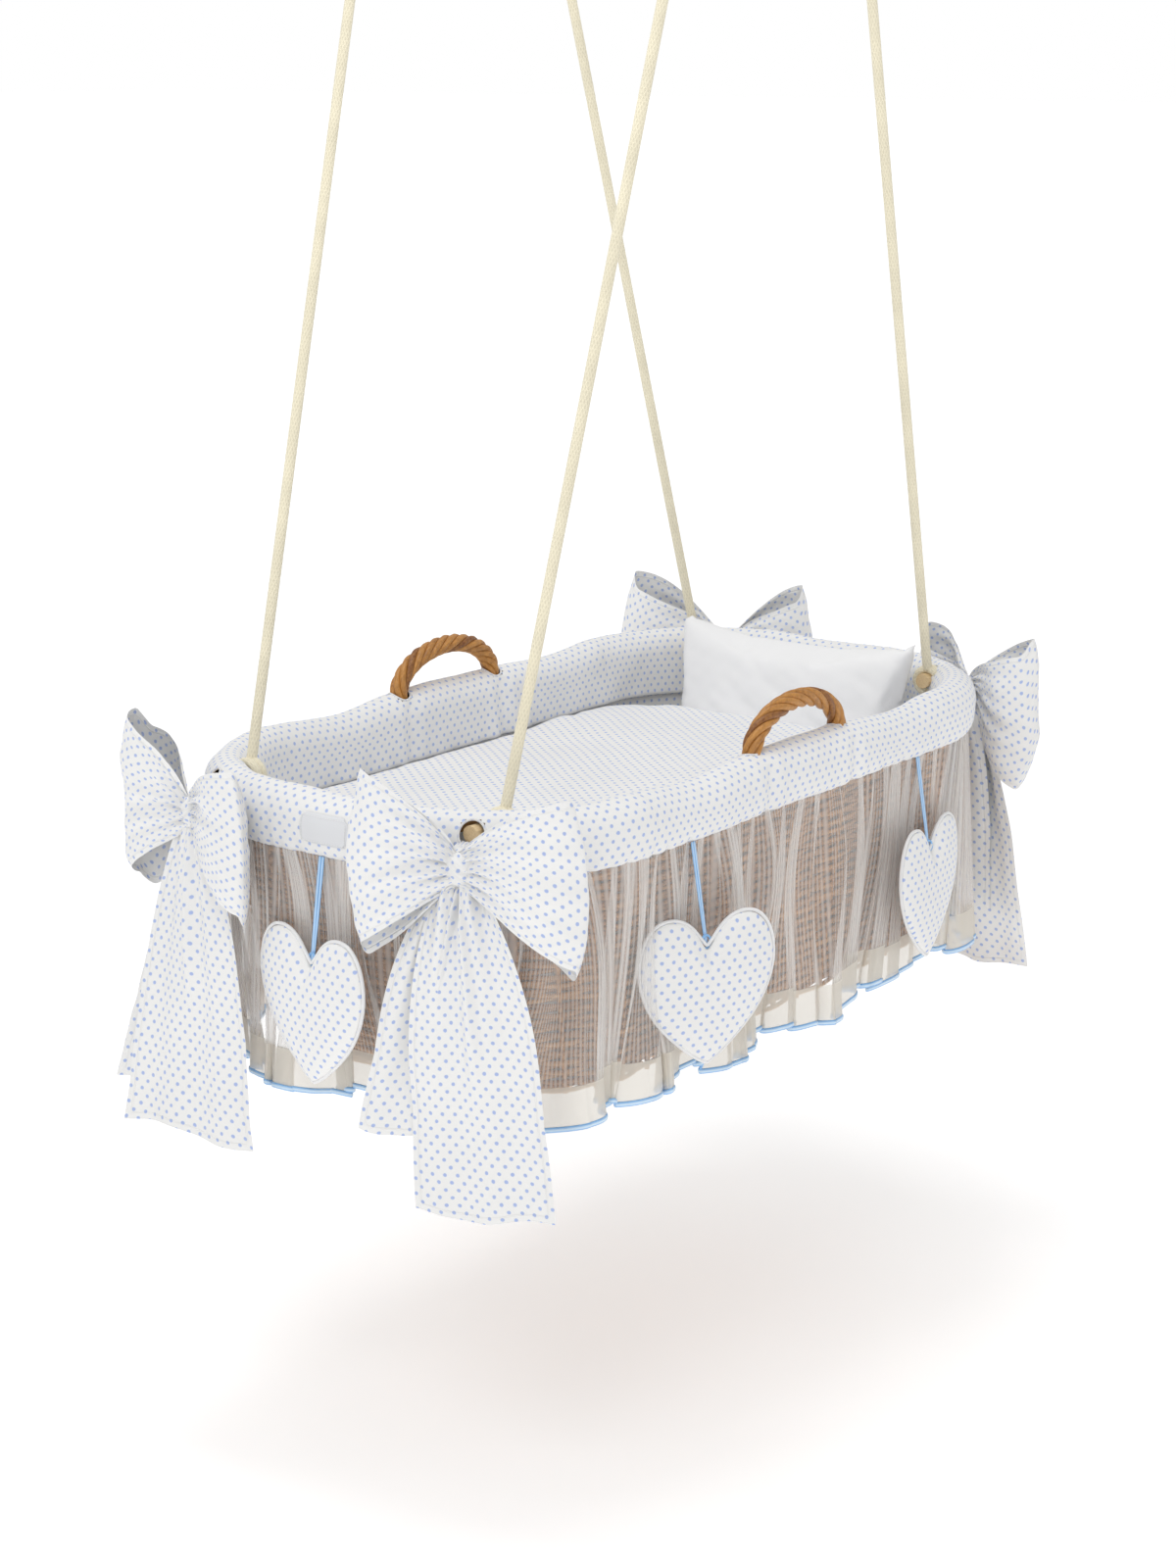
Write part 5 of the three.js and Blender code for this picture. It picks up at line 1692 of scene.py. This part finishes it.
# %% The pattern of one heart
HEART_WIDE = 0.142
HEART_TALL = 0.141
HEART_HALF = ((0, 0.295), (0, 0.295), (0.09, 0.345), (0.22, 0.43), (0.38, 0.485),
              (0.56, 0.503), (0.74, 0.485), (0.89, 0.415), (0.98, 0.31), (1.01, 0.19),
              (0.98, 0.07), (0.89, -0.06), (0.73, -0.19), (0.51, -0.31), (0.27, -0.415),
              (0.09, -0.478))
HEART_YAW = {"foot": -9, "head": -6, "right_foot": -25, "right_head": 7, "left_foot": 8,
             "left_head": -8}
HEART_HANG = 0.142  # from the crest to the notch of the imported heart
NOTCH_DROP = 0.0097  # how much lower the notch is here
HEART_MIDDLE = np.array([0, -0.047])  # below the notch
HEART_EDGE, HEART_DOME = 0.0021, 0.0045  # half its thickness before it is blown up
PIPING = 0.0017


def smooth_loop(points, count):
    """An even closed line that rounds the bends at the points."""
    points = np.asarray(points, float)
    for _ in range(3):
        following = np.roll(points, -1, 0)
        cut = np.stack([points * 0.75 + following * 0.25, points * 0.25 + following * 0.75], 1)
        points = cut.reshape(-1, points.shape[1])
    line = np.vstack([points, points[:1]])
    along = run_along(line)
    return read_line(line, along, np.linspace(0, along[-1], count + 1)[:-1])


def heart_outline(count=180):
    half = np.array(HEART_HALF) * (HEART_WIDE / 2, HEART_TALL)
    notch = HEART_HALF[0][1] * HEART_TALL
    right = half[::-1]
    left = half[2:] * (-1, 1)
    tip = np.array([[0, -HEART_TALL / 2]] * 3)
    line = smooth_loop(np.concatenate([right, left, tip]), count)
    return line - (0, notch)


heart_line = heart_outline()


def make_heart():
    rows = []
    shares = np.concatenate([np.linspace(0.01, 0.85, 14), np.linspace(0.88, 1.0, 6)])
    for side, order in ((-1, shares), (1, shares[::-1])):
        for share in order:
            flat = HEART_MIDDLE + (heart_line - HEART_MIDDLE) * share
            rise = (HEART_EDGE + HEART_DOME * (1 - share ** 3) ** 0.5) * side
            rows.append(with_height(flat, rise))
    heart = grid_mesh("sewn_heart", np.array(rows), wrap=True)
    cap_ends(heart, len(heart_line), len(rows))
    puff(heart, voxel=0.0027, pressure=5.0, cap=0.0046, frames=16, tension=14.0,
         bending=0.15)

    def fill_outline(points):
        for axis in (0, 1):
            low, high = points[:, axis].min(), points[:, axis].max()
            want_low = heart_line[:, axis].min() + PIPING
            want_high = heart_line[:, axis].max() - PIPING
            share = (points[:, axis] - low) / (high - low)
            points[:, axis] = want_low + share * (want_high - want_low)
        return points

    move_points(heart, fill_outline)
    return heart


heart_pattern = make_heart()


def facing_matrix(place, out):
    out = Vector((*out, 0)).normalized()
    side = Vector((0, 0, 1)).cross(out)
    turn = Matrix((side, (0, 0, 1), out)).transposed().to_4x4()
    return Matrix.Translation(place) @ turn


def hang_heart(name):
    x, y = HEARTS[name]
    yaw = math.radians(HEART_YAW[name])
    out = (x * math.cos(yaw) - y * math.sin(yaw), x * math.sin(yaw) + y * math.cos(yaw))
    place = (*box_middle(f"heart_{name}")[:2], CREST - HEART_HANG - NOTCH_DROP)
    turn = facing_matrix(place, out)
    heart = link(f"dotted_heart_{name}", heart_pattern.data.copy())
    planar_uv(heart, (1, 0, 0), (0, 1, 0))
    edge = with_height(heart_line, 0)
    piping = tube_mesh(f"piping_{name}", edge, PIPING, 8, closed=True)
    for piece, finish in ((heart, dotted), (piping, piping_cotton)):
        piece.data.transform(turn)
        dress(piece, finish, f"heart_{name}")
    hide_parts(f"heart_{name}")


for name in HEARTS:
    hang_heart(name)
bpy.data.objects.remove(heart_pattern)


# %% Ribbons
RIBBON_WIDE = 0.0062
RIBBON_SECTION = ((-1, -1), (-0.5, -1), (0, -1), (0.5, -1), (1, -1), (1, 1), (0.5, 1), (0, 1),
                  (-0.5, 1), (-1, 1))
RIBBON_LOOP = (0.0048, 0.0062, 0.0016)  # half its width, height and depth
RIBBON_PAINTED_HIGHLIGHT = (0, 0, 1, 0, 0, 0, 0, 1, 0, 0)  # a painted highlight along the middle of each face


def strip_mesh(name, path, across, widths, thickness=0.0006):
    """A closed flat strip along a path; `across` is its width's direction."""
    ahead = unit(np.gradient(path, axis=0))
    across = unit(across - ahead * np.sum(across * ahead, 1, keepdims=True))
    thick = np.cross(ahead, across)
    section = [path + across * (u * widths / 2)[:, None] + thick * v * thickness / 2
               for u, v in RIBBON_SECTION]
    girth = np.linspace(0, 2 * RIBBON_WIDE, len(section) + 1)
    uv = np.stack(np.meshgrid(girth, run_along(path)), -1)
    piece = grid_mesh(name, np.stack(section, 1), uv, wrap=True)
    store(piece.data, "light", np.tile(RIBBON_PAINTED_HIGHLIGHT, len(path)))
    cap_ends(piece, len(section), len(path))
    return piece


def hang_ribbon(name):
    low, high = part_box(f"ribbon_{name}")
    x, y = HEARTS[name]
    out = np.array([x, y, 0.0])
    side = np.array([-y, x, 0.0])
    middle = box_middle(f"ribbon_{name}") * (1, 1, 0)
    span = np.array(high - low) @ np.abs(out)
    top = middle + out * (-span / 2 + 0.0006) + (0, 0, high.z + 0.001)
    end = middle + out * (span / 2 - 0.0006) + (0, 0, low.z - 0.003 - NOTCH_DROP)
    share = np.linspace(0, 1, 40)[:, None]
    strips = []
    for way in (1, -1):
        draw = 1 - 0.55 * share ** 3
        path = top + (end - top) * share + side * way * RIBBON_WIDE * 0.27 * draw
        angle = way * 0.35 * share ** 2
        across = side * np.cos(angle) + out * np.sin(angle)
        widths = RIBBON_WIDE * (0.5 - 0.08 * share[:, 0])
        strips.append(strip_mesh(f"strip_{name}", path, across, widths))
    turn = round_turn(28)[:, None]
    wide, tall, deep = RIBBON_LOOP
    loop = (end + (0, 0, 0.002) + (side * wide + out * deep) * np.cos(turn)
            + np.array([0, 0, tall]) * np.sin(turn))
    strips.append(tube_mesh(f"loop_{name}", loop, 0.0011, 8, closed=True))
    ribbon = join_pieces(f"satin_ribbon_{name}", strips)
    dress(ribbon, satin, f"heart_{name}")
    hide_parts(f"ribbon_{name}")


for name in HEARTS:
    hang_ribbon(name)

# %% [markdown]
# ## Bows
#
# Each bow is one dotted sash, tied round a peg: two loops, a knot, a strap into the peg
# hole and two tails. It is modelled in its own frame, with x sideways, y up and z
# outwards, and its pleats run out from the knot and die away. Its UV map follows the
# cloth, so that dots crowd where it is gathered.

# %% A strip of sash
SASH_WIDE = 0.146
LOOP_PLEAT, LOOP_CREASE, LOOP_WAVE = 0.0052, 0.0030, 0.0024
TAIL_FOLD, TAIL_RIDGE, TAIL_WAVE = 0.0082, 0.0125, 0.0026
GATHERED = 0.030  # how wide a tail is where it leaves the knot


def sash_mesh(name, points, across, along, edge):
    """A grid of sash with its UV in metres and its distance from the cut edge."""
    piece = grid_mesh(name, points, np.stack([across, along], -1))
    store(piece.data, "edge", edge)
    return piece


def loop_points(side, length, tall, seed, thick, droop, rise=0.33):
    """One loop of the bow: out along the front, round the end and back behind."""
    u, v = np.meshgrid(np.linspace(0, 1, 90), np.linspace(-1, 1, 44))
    reach = np.sin(math.pi * u) ** 0.72
    corner = 1 - 0.13 * np.clip(v, 0, 1) ** 2 - 0.10 * np.clip(-v, 0, 1) ** 2.5
    x = length * reach * corner
    share = x / length
    top = tall * (0.10 + rise * np.sin(math.pi / 2 * share) ** 0.9)
    foot = -tall * (0.10 + (0.34 + droop) * share ** 1.05)
    y = foot + (top - foot) * (v + 1) / 2
    behind = ease((u - 0.45) / 0.2)
    y = y - 0.017 * behind * ease(share * 1.5)
    belly = 0.35 + 0.65 * np.sin(math.pi * np.clip(share, 0, 1) ** 0.8) ** 0.8
    z = 1.35 * thick * np.sin(2 * math.pi * u) * belly * (1 - 0.25 * np.abs(v) ** 3)
    pinch = np.exp(-share * length / 0.034)
    dice = np.random.default_rng(seed)
    swing = dice.uniform(0, 2 * math.pi)
    pleats = np.sin(2 * math.pi * 2.4 * v + swing + 1.4 * share)
    pleats = pleats + 0.45 * np.sin(2 * math.pi * 4.3 * v + swing * 2)
    z = z + LOOP_PLEAT * pleats * pinch * ease(share * 8) * np.where(u < 0.5, 1, -0.8)
    crease = np.zeros_like(z)
    for _ in range(4):
        place, slope = dice.uniform(-0.7, 0.7), dice.uniform(-0.5, 0.5)
        width = dice.uniform(0.05, 0.11)
        line = v - place - slope * (share - 0.2)
        size = dice.uniform(0.5, 1.1) * dice.choice([-1, 1])
        crease += size * np.exp(-(line / width) ** 2) * np.exp(-((share - 0.35) / 0.33) ** 2)
    z = z + LOOP_CREASE * crease * np.where(u < 0.5, 1, -1)
    points = np.stack([x * side, y, z + 0.009 + 0.004 * share], -1)
    cloud = smooth_noise(points, seed + 70, 0.075, 3)
    points[..., 2] += LOOP_WAVE * cloud * ease(share * 2)
    points[..., 0] += 0.0018 * cloud * share * side
    along = np.broadcast_to(run_along(points[22]), u.shape)
    return points, v * SASH_WIDE / 2, along, (1 - np.abs(v)) * SASH_WIDE / 2


def tail_points(length, end, wide, offset, seed, turn=0.0, lean=0.0):
    """One hanging tail, gathered in the knot and nearly flat at its cut end."""
    u, t = np.meshgrid(np.linspace(-0.5, 0.5, 60), np.linspace(0, 1, 90))
    dice = np.random.default_rng(seed)
    open_out = np.sin(math.pi / 2 * t) ** 0.8
    width = GATHERED + (wide - GATHERED) * open_out
    bulge = 0.008 * np.sin(math.pi * np.clip(t * 1.4, 0, 1)) * np.sign(u) * np.abs(2 * u) ** 2
    x = end * t + u * width + bulge
    y = -length * t + 0.004 * np.cos(2 * math.pi * u + seed) * t
    gathered = np.exp(-t * 5.5)
    middle = np.exp(-((u - 0.02 + 0.05 * t) / (0.055 + 0.03 * t)) ** 2)
    folds = np.sin(2 * math.pi * (2.5 * u + 0.15 * t) + dice.uniform(0, 6.28))
    fine = np.sin(2 * math.pi * (6.2 * u) + dice.uniform(0, 6.28))
    z = TAIL_FOLD * folds * (0.24 + 0.9 * gathered) * ease(t * 9)
    z = z + 0.0024 * fine * gathered * ease(t * 12)
    z = z + TAIL_RIDGE * middle * (1 - ease((t - 0.35) / 0.4)) * ease(t * 6)
    points = np.stack([x, y, z + offset], -1)
    cloud = smooth_noise(points, seed + 90, 0.11, 3)
    points[..., 2] += TAIL_WAVE * cloud * t
    points[..., 2] += turn * u * t + lean * t ** 1.2
    return points, u * wide, -y, np.minimum((0.5 - np.abs(u)) * wide, (1 - t) * length)


KNOT_SIZE = (0.0150, 0.0178, 0.0145)  # half its width, height and depth


def knot_points(seed):
    """A barrel of cloth with slanting pleats, closed at both ends."""
    around = np.linspace(0, 2 * math.pi, 65)
    up = np.linspace(0.02, math.pi - 0.02, 34)
    a, b = np.meshgrid(around, up)
    x = KNOT_SIZE[0] * np.sin(b) ** 0.85 * np.cos(a)
    y = KNOT_SIZE[1] * np.cos(b)
    z = KNOT_SIZE[2] * np.sin(b) ** 0.85 * np.sin(a)
    line = x * 0.75 + y * 0.95
    dice = np.random.default_rng(seed)
    pleat = np.sin(line / 0.0075 * 2 * math.pi + dice.uniform(0, 6.28))
    pleat = np.abs(pleat) ** 0.6 * np.sign(pleat)
    swell = 1 + 0.085 * pleat * np.sin(b) + 0.05 * np.cos(b - 0.4 * np.sin(a))
    points = np.stack([x * swell, y, z * swell], -1)
    return points, a * 0.016, b * 0.018, np.full(a.shape, 0.05)


def strap_points(rise):
    """The gathered end of the sash that runs from the knot up into the peg hole."""
    u, t = np.meshgrid(np.linspace(-1, 1, 28), np.linspace(0, 1, 26))
    width = 0.0070 + 0.002 * t
    x = u * width
    y = 0.010 + (rise - 0.006 - 0.010) * t
    z = 0.0095 - 0.004 * t - 0.024 * ease((t - 0.72) / 0.28) - 0.005 * np.abs(u) ** 2
    z = z + 0.0016 * np.sin(2 * math.pi * 2.6 * u) * (1 - 0.4 * t)
    return np.stack([x, y, z], -1), u * 0.03, t * 0.03, np.full(u.shape, 0.05)


# %% Tie the four bows
BOWS = {
    "foot_left": {"seed": 3, "long": 0.112, "short": 0.116, "tall": 0.146, "droop": 0.16,
                  "thick": (0.023, 0.017), "ends": (-0.036, 0.034), "wide": (0.142, 0.112),
                  "rise": (0.46, 0.33), "turn": 0.060, "lean": 0.034,
                  "tails": (0.296, 0.270)},
    "foot_right": {"seed": 8, "long": 0.118, "short": 0.098, "tall": 0.150, "droop": 0.14,
                   "thick": (0.019, 0.016), "ends": (0.022, -0.046), "wide": (0.130, 0.108),
                   "rise": (0.38, 0.50), "turn": 0.0, "lean": 0.004,
                   "tails": (0.318, 0.250)},
    "head_right": {"seed": 14, "long": 0.104, "short": 0.088, "tall": 0.142, "droop": 0.18,
                   "thick": (0.021, 0.015), "ends": (0.020, -0.020), "wide": (0.124, 0.104),
                   "rise": (0.40, 0.36), "turn": 0.030, "lean": 0.016,
                   "tails": (0.304, 0.262)},
    "head_left": {"seed": 21, "long": 0.128, "short": 0.100, "tall": 0.148, "droop": 0.15,
                  "thick": (0.020, 0.017), "ends": (0.024, -0.024), "wide": (0.124, 0.104),
                  "rise": (0.52, 0.50), "turn": 0.020, "lean": 0.012,
                  "tails": (0.300, 0.254)},
}
KNOT_DEPTH = 0.040  # from the crest down to a bow's knot
KNOT_STAND = 0.0145  # in front of the cover's edge
BOW_FACING = math.radians(20)


def tie_bow(corner):
    plan = BOWS[corner]
    seed, tall, droop = plan["seed"], plan["tall"], plan["droop"]
    (front, back), (front_end, back_end) = plan["tails"], plan["ends"]
    turn, lean = plan["turn"], plan["lean"]
    sx, sy = SIGNS[corner]
    parts = {
        "long": loop_points(1, plan["long"], tall, seed, plan["thick"][0], droop,
                            plan["rise"][0]),
        "short": loop_points(-1, plan["short"], tall * 0.96, seed + 1, plan["thick"][1],
                             droop - 0.04, plan["rise"][1]),
        "front": tail_points(front, front_end, plan["wide"][0], 0.006, seed + 2, turn, lean),
        "back": tail_points(back, back_end, plan["wide"][1], -0.0045, seed + 3, turn,
                            lean * 0.8),
        "knot": knot_points(seed),
        "strap": strap_points(KNOT_DEPTH - PEG_DEPTH),
    }
    pieces = {label: sash_mesh(f"{label}_{corner}", *values)
              for label, values in parts.items()}
    weld(pieces["knot"], 0.0004)
    bow = join_pieces(f"dotted_bow_{corner}", list(pieces.values()))
    place = (*bow_place(corner, COVER_RADIUS + KNOT_STAND), CREST - KNOT_DEPTH)
    facing = facing_matrix(place, (sx * math.cos(BOW_FACING), sy * math.sin(BOW_FACING)))
    if sx * sy < 0:
        facing = facing @ Matrix.Diagonal((-1, 1, 1, 1))
    bow.data.transform(facing)
    if sx * sy < 0:
        bow.data.flip_normals()
    dress(bow, dotted_sash, "basket")
    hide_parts(f"bow_{corner}")


for corner in CORNERS:
    tie_bow(corner)

# %% [markdown]
# ## Pegs, knots and ceiling fittings
#
# Each rope ends in two turns round its wooden peg below, and in an eye with a whipped
# neck above. These are short lengths of the same braided rope, so they use the same
# tube and finish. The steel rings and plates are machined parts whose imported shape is
# right, so they only need their metal.

# %% Turns round the pegs
KNOT_ROPE, KNOT_REACH = 0.0041, 0.0118  # the rope's radius, and its turns'


def tie_lower_knot(corner):
    turn = np.linspace(-0.5 * math.pi, 3.4 * math.pi, 150)
    share = np.linspace(-1, 1, 150)
    path = rope_foot(corner) + np.stack(
        [share * 0.0062, KNOT_REACH * np.cos(turn), KNOT_REACH * np.sin(turn)], 1)
    knot = tube_mesh(f"peg_knot_{corner}", path, KNOT_ROPE, 14)
    dress(knot, cotton_rope, body_of(f"lower_knot_{corner}"))
    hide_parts(f"lower_knot_{corner}")


# %% Eyes at the top
EYE_ROPE, EYE_REACH = 0.0046, 0.013
EYE_RISE = 0.0326  # from the rope's end to the middle of its eye
NECK_TURNS, NECK_ROPE, NECK_REACH = 4.5, 0.0026, 0.0068
CORE_ROPE = 0.0055


def splice_eye(corner):
    """An eye with a whipped neck, which has a plain core."""
    top, low = rope_ends(corner)
    down = unit(low - top)
    across = unit(np.cross(down, (0.0, 1.0, 0.0)))
    beside = np.cross(across, down)
    turn = round_turn(80)[:, None]
    loop = beside * np.cos(turn) + down * np.sin(turn)
    eye = tube_mesh(f"eye_{corner}", top - down * EYE_RISE + EYE_REACH * loop, EYE_ROPE, 16,
                    closed=True)
    wrap = np.linspace(0, 2 * math.pi * NECK_TURNS, 220)[:, None]
    rise = np.linspace(0.001, 0.0195, 220)[:, None]
    path = top - down * rise + NECK_REACH * (beside * np.cos(wrap) + across * np.sin(wrap))
    neck = tube_mesh(f"neck_{corner}", path, NECK_ROPE, 10)
    core = tube_mesh(f"core_{corner}", top - down * np.linspace(-0.001, 0.022, 12)[:, None],
                     CORE_ROPE, 14)
    whole = join_pieces(f"spliced_eye_{corner}", [eye, neck, core])
    dress(whole, cotton_rope, body_of(f"rope_eye_{corner}"))
    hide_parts(f"rope_eye_{corner}")


def refinish(name, finish):
    for slot in frame["nodes"][name].material_slots:
        slot.material = finish


for corner in CORNERS:
    tie_lower_knot(corner)
    splice_eye(corner)
    refinish(f"peg_{corner}", peg_wood)
    refinish(f"ring_{corner}", steel)
    refinish(f"ceiling_plate_{corner}", steel)

# %% [markdown]
# ## The bare patch
#
# A small plain patch is sewn to the foot end of the cover. It follows the cover's
# curve, and a line of short stitches holds its edge.

# %% Patch and stitches
SEAM_INSET = 0.0026  # from the patch's edge to its stitches
STITCH_HALF = 0.0009
STITCH_RADIUS = 0.00028
STITCHES = (17, 9)  # along the patch, and up it
STITCH_LIFT = 0.0017  # how far a stitch lies out from the cover
PATCH_EDGE, PATCH_LIFT = 0.0004, 0.0013  # the patch at its edge, and how much more inside


def make_patch():
    low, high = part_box("bare_patch")
    heights = np.linspace(high.z - 0.0005, low.z + 0.0005, 22) - CREST
    way, height = np.meshgrid(STOPS[4] + (CORE_Y - np.linspace(low.y, high.y, 44)), heights)
    half_wide, half_tall = (high.y - low.y) / 2, (heights[0] - heights[-1]) / 2
    middle_way = STOPS[4] + CORE_Y - (low.y + high.y) / 2
    middle_height = heights.mean()
    u, v = (way - middle_way) / half_wide, (height - middle_height) / half_tall
    squeeze = 1 - 0.06 * np.abs(u) ** 8 * np.abs(v) ** 4 * 4
    way = middle_way + (way - middle_way) * squeeze
    height = middle_height + (height - middle_height) * squeeze
    face = cover_section[cover_section[:, 0] > 0.1705]
    face = face[np.argsort(face[:, 1])]

    def on_cover(way, height):
        return cover_shape(way, np.interp(height, face[:, 1], face[:, 0]), height)

    points = on_cover(way, height)
    edge = np.minimum(1 - np.abs(u), 1 - np.abs(v))
    points[..., 0] -= PATCH_EDGE + PATCH_LIFT * ease(edge / 0.12)
    patch = grid_mesh("plain_patch", points, np.stack([way, height], -1))
    reach, rise = half_wide - SEAM_INSET, half_tall - SEAM_INSET
    seam = [((2 * t - 1) * reach, side * rise, 1, 0)
            for t in np.arange(STITCHES[0]) / STITCHES[0] for side in (1, -1)]
    seam += [(side * reach, (2 * t - 1) * rise, 0, 1)
             for t in np.arange(STITCHES[1]) / STITCHES[1] for side in (1, -1)]
    at = np.linspace(-STITCH_HALF, STITCH_HALF, 5)
    stitches = []
    for number, (across, up, along, upwards) in enumerate(seam):
        thread = on_cover((middle_way + across + at * along)[None],
                          (middle_height + up + at * upwards)[None])[0]
        thread[:, 0] -= STITCH_LIFT + 0.0002 * np.cos(at / STITCH_HALF * math.pi / 2)
        stitches.append(tube_mesh(f"stitch_{number}", thread, STITCH_RADIUS, 6))
    thread = join_pieces("patch_stitches", stitches)
    for piece, finish in ((patch, patch_cotton), (thread, piping_cotton)):
        dress(piece, finish, "basket")
    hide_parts("bare_patch")


make_patch()
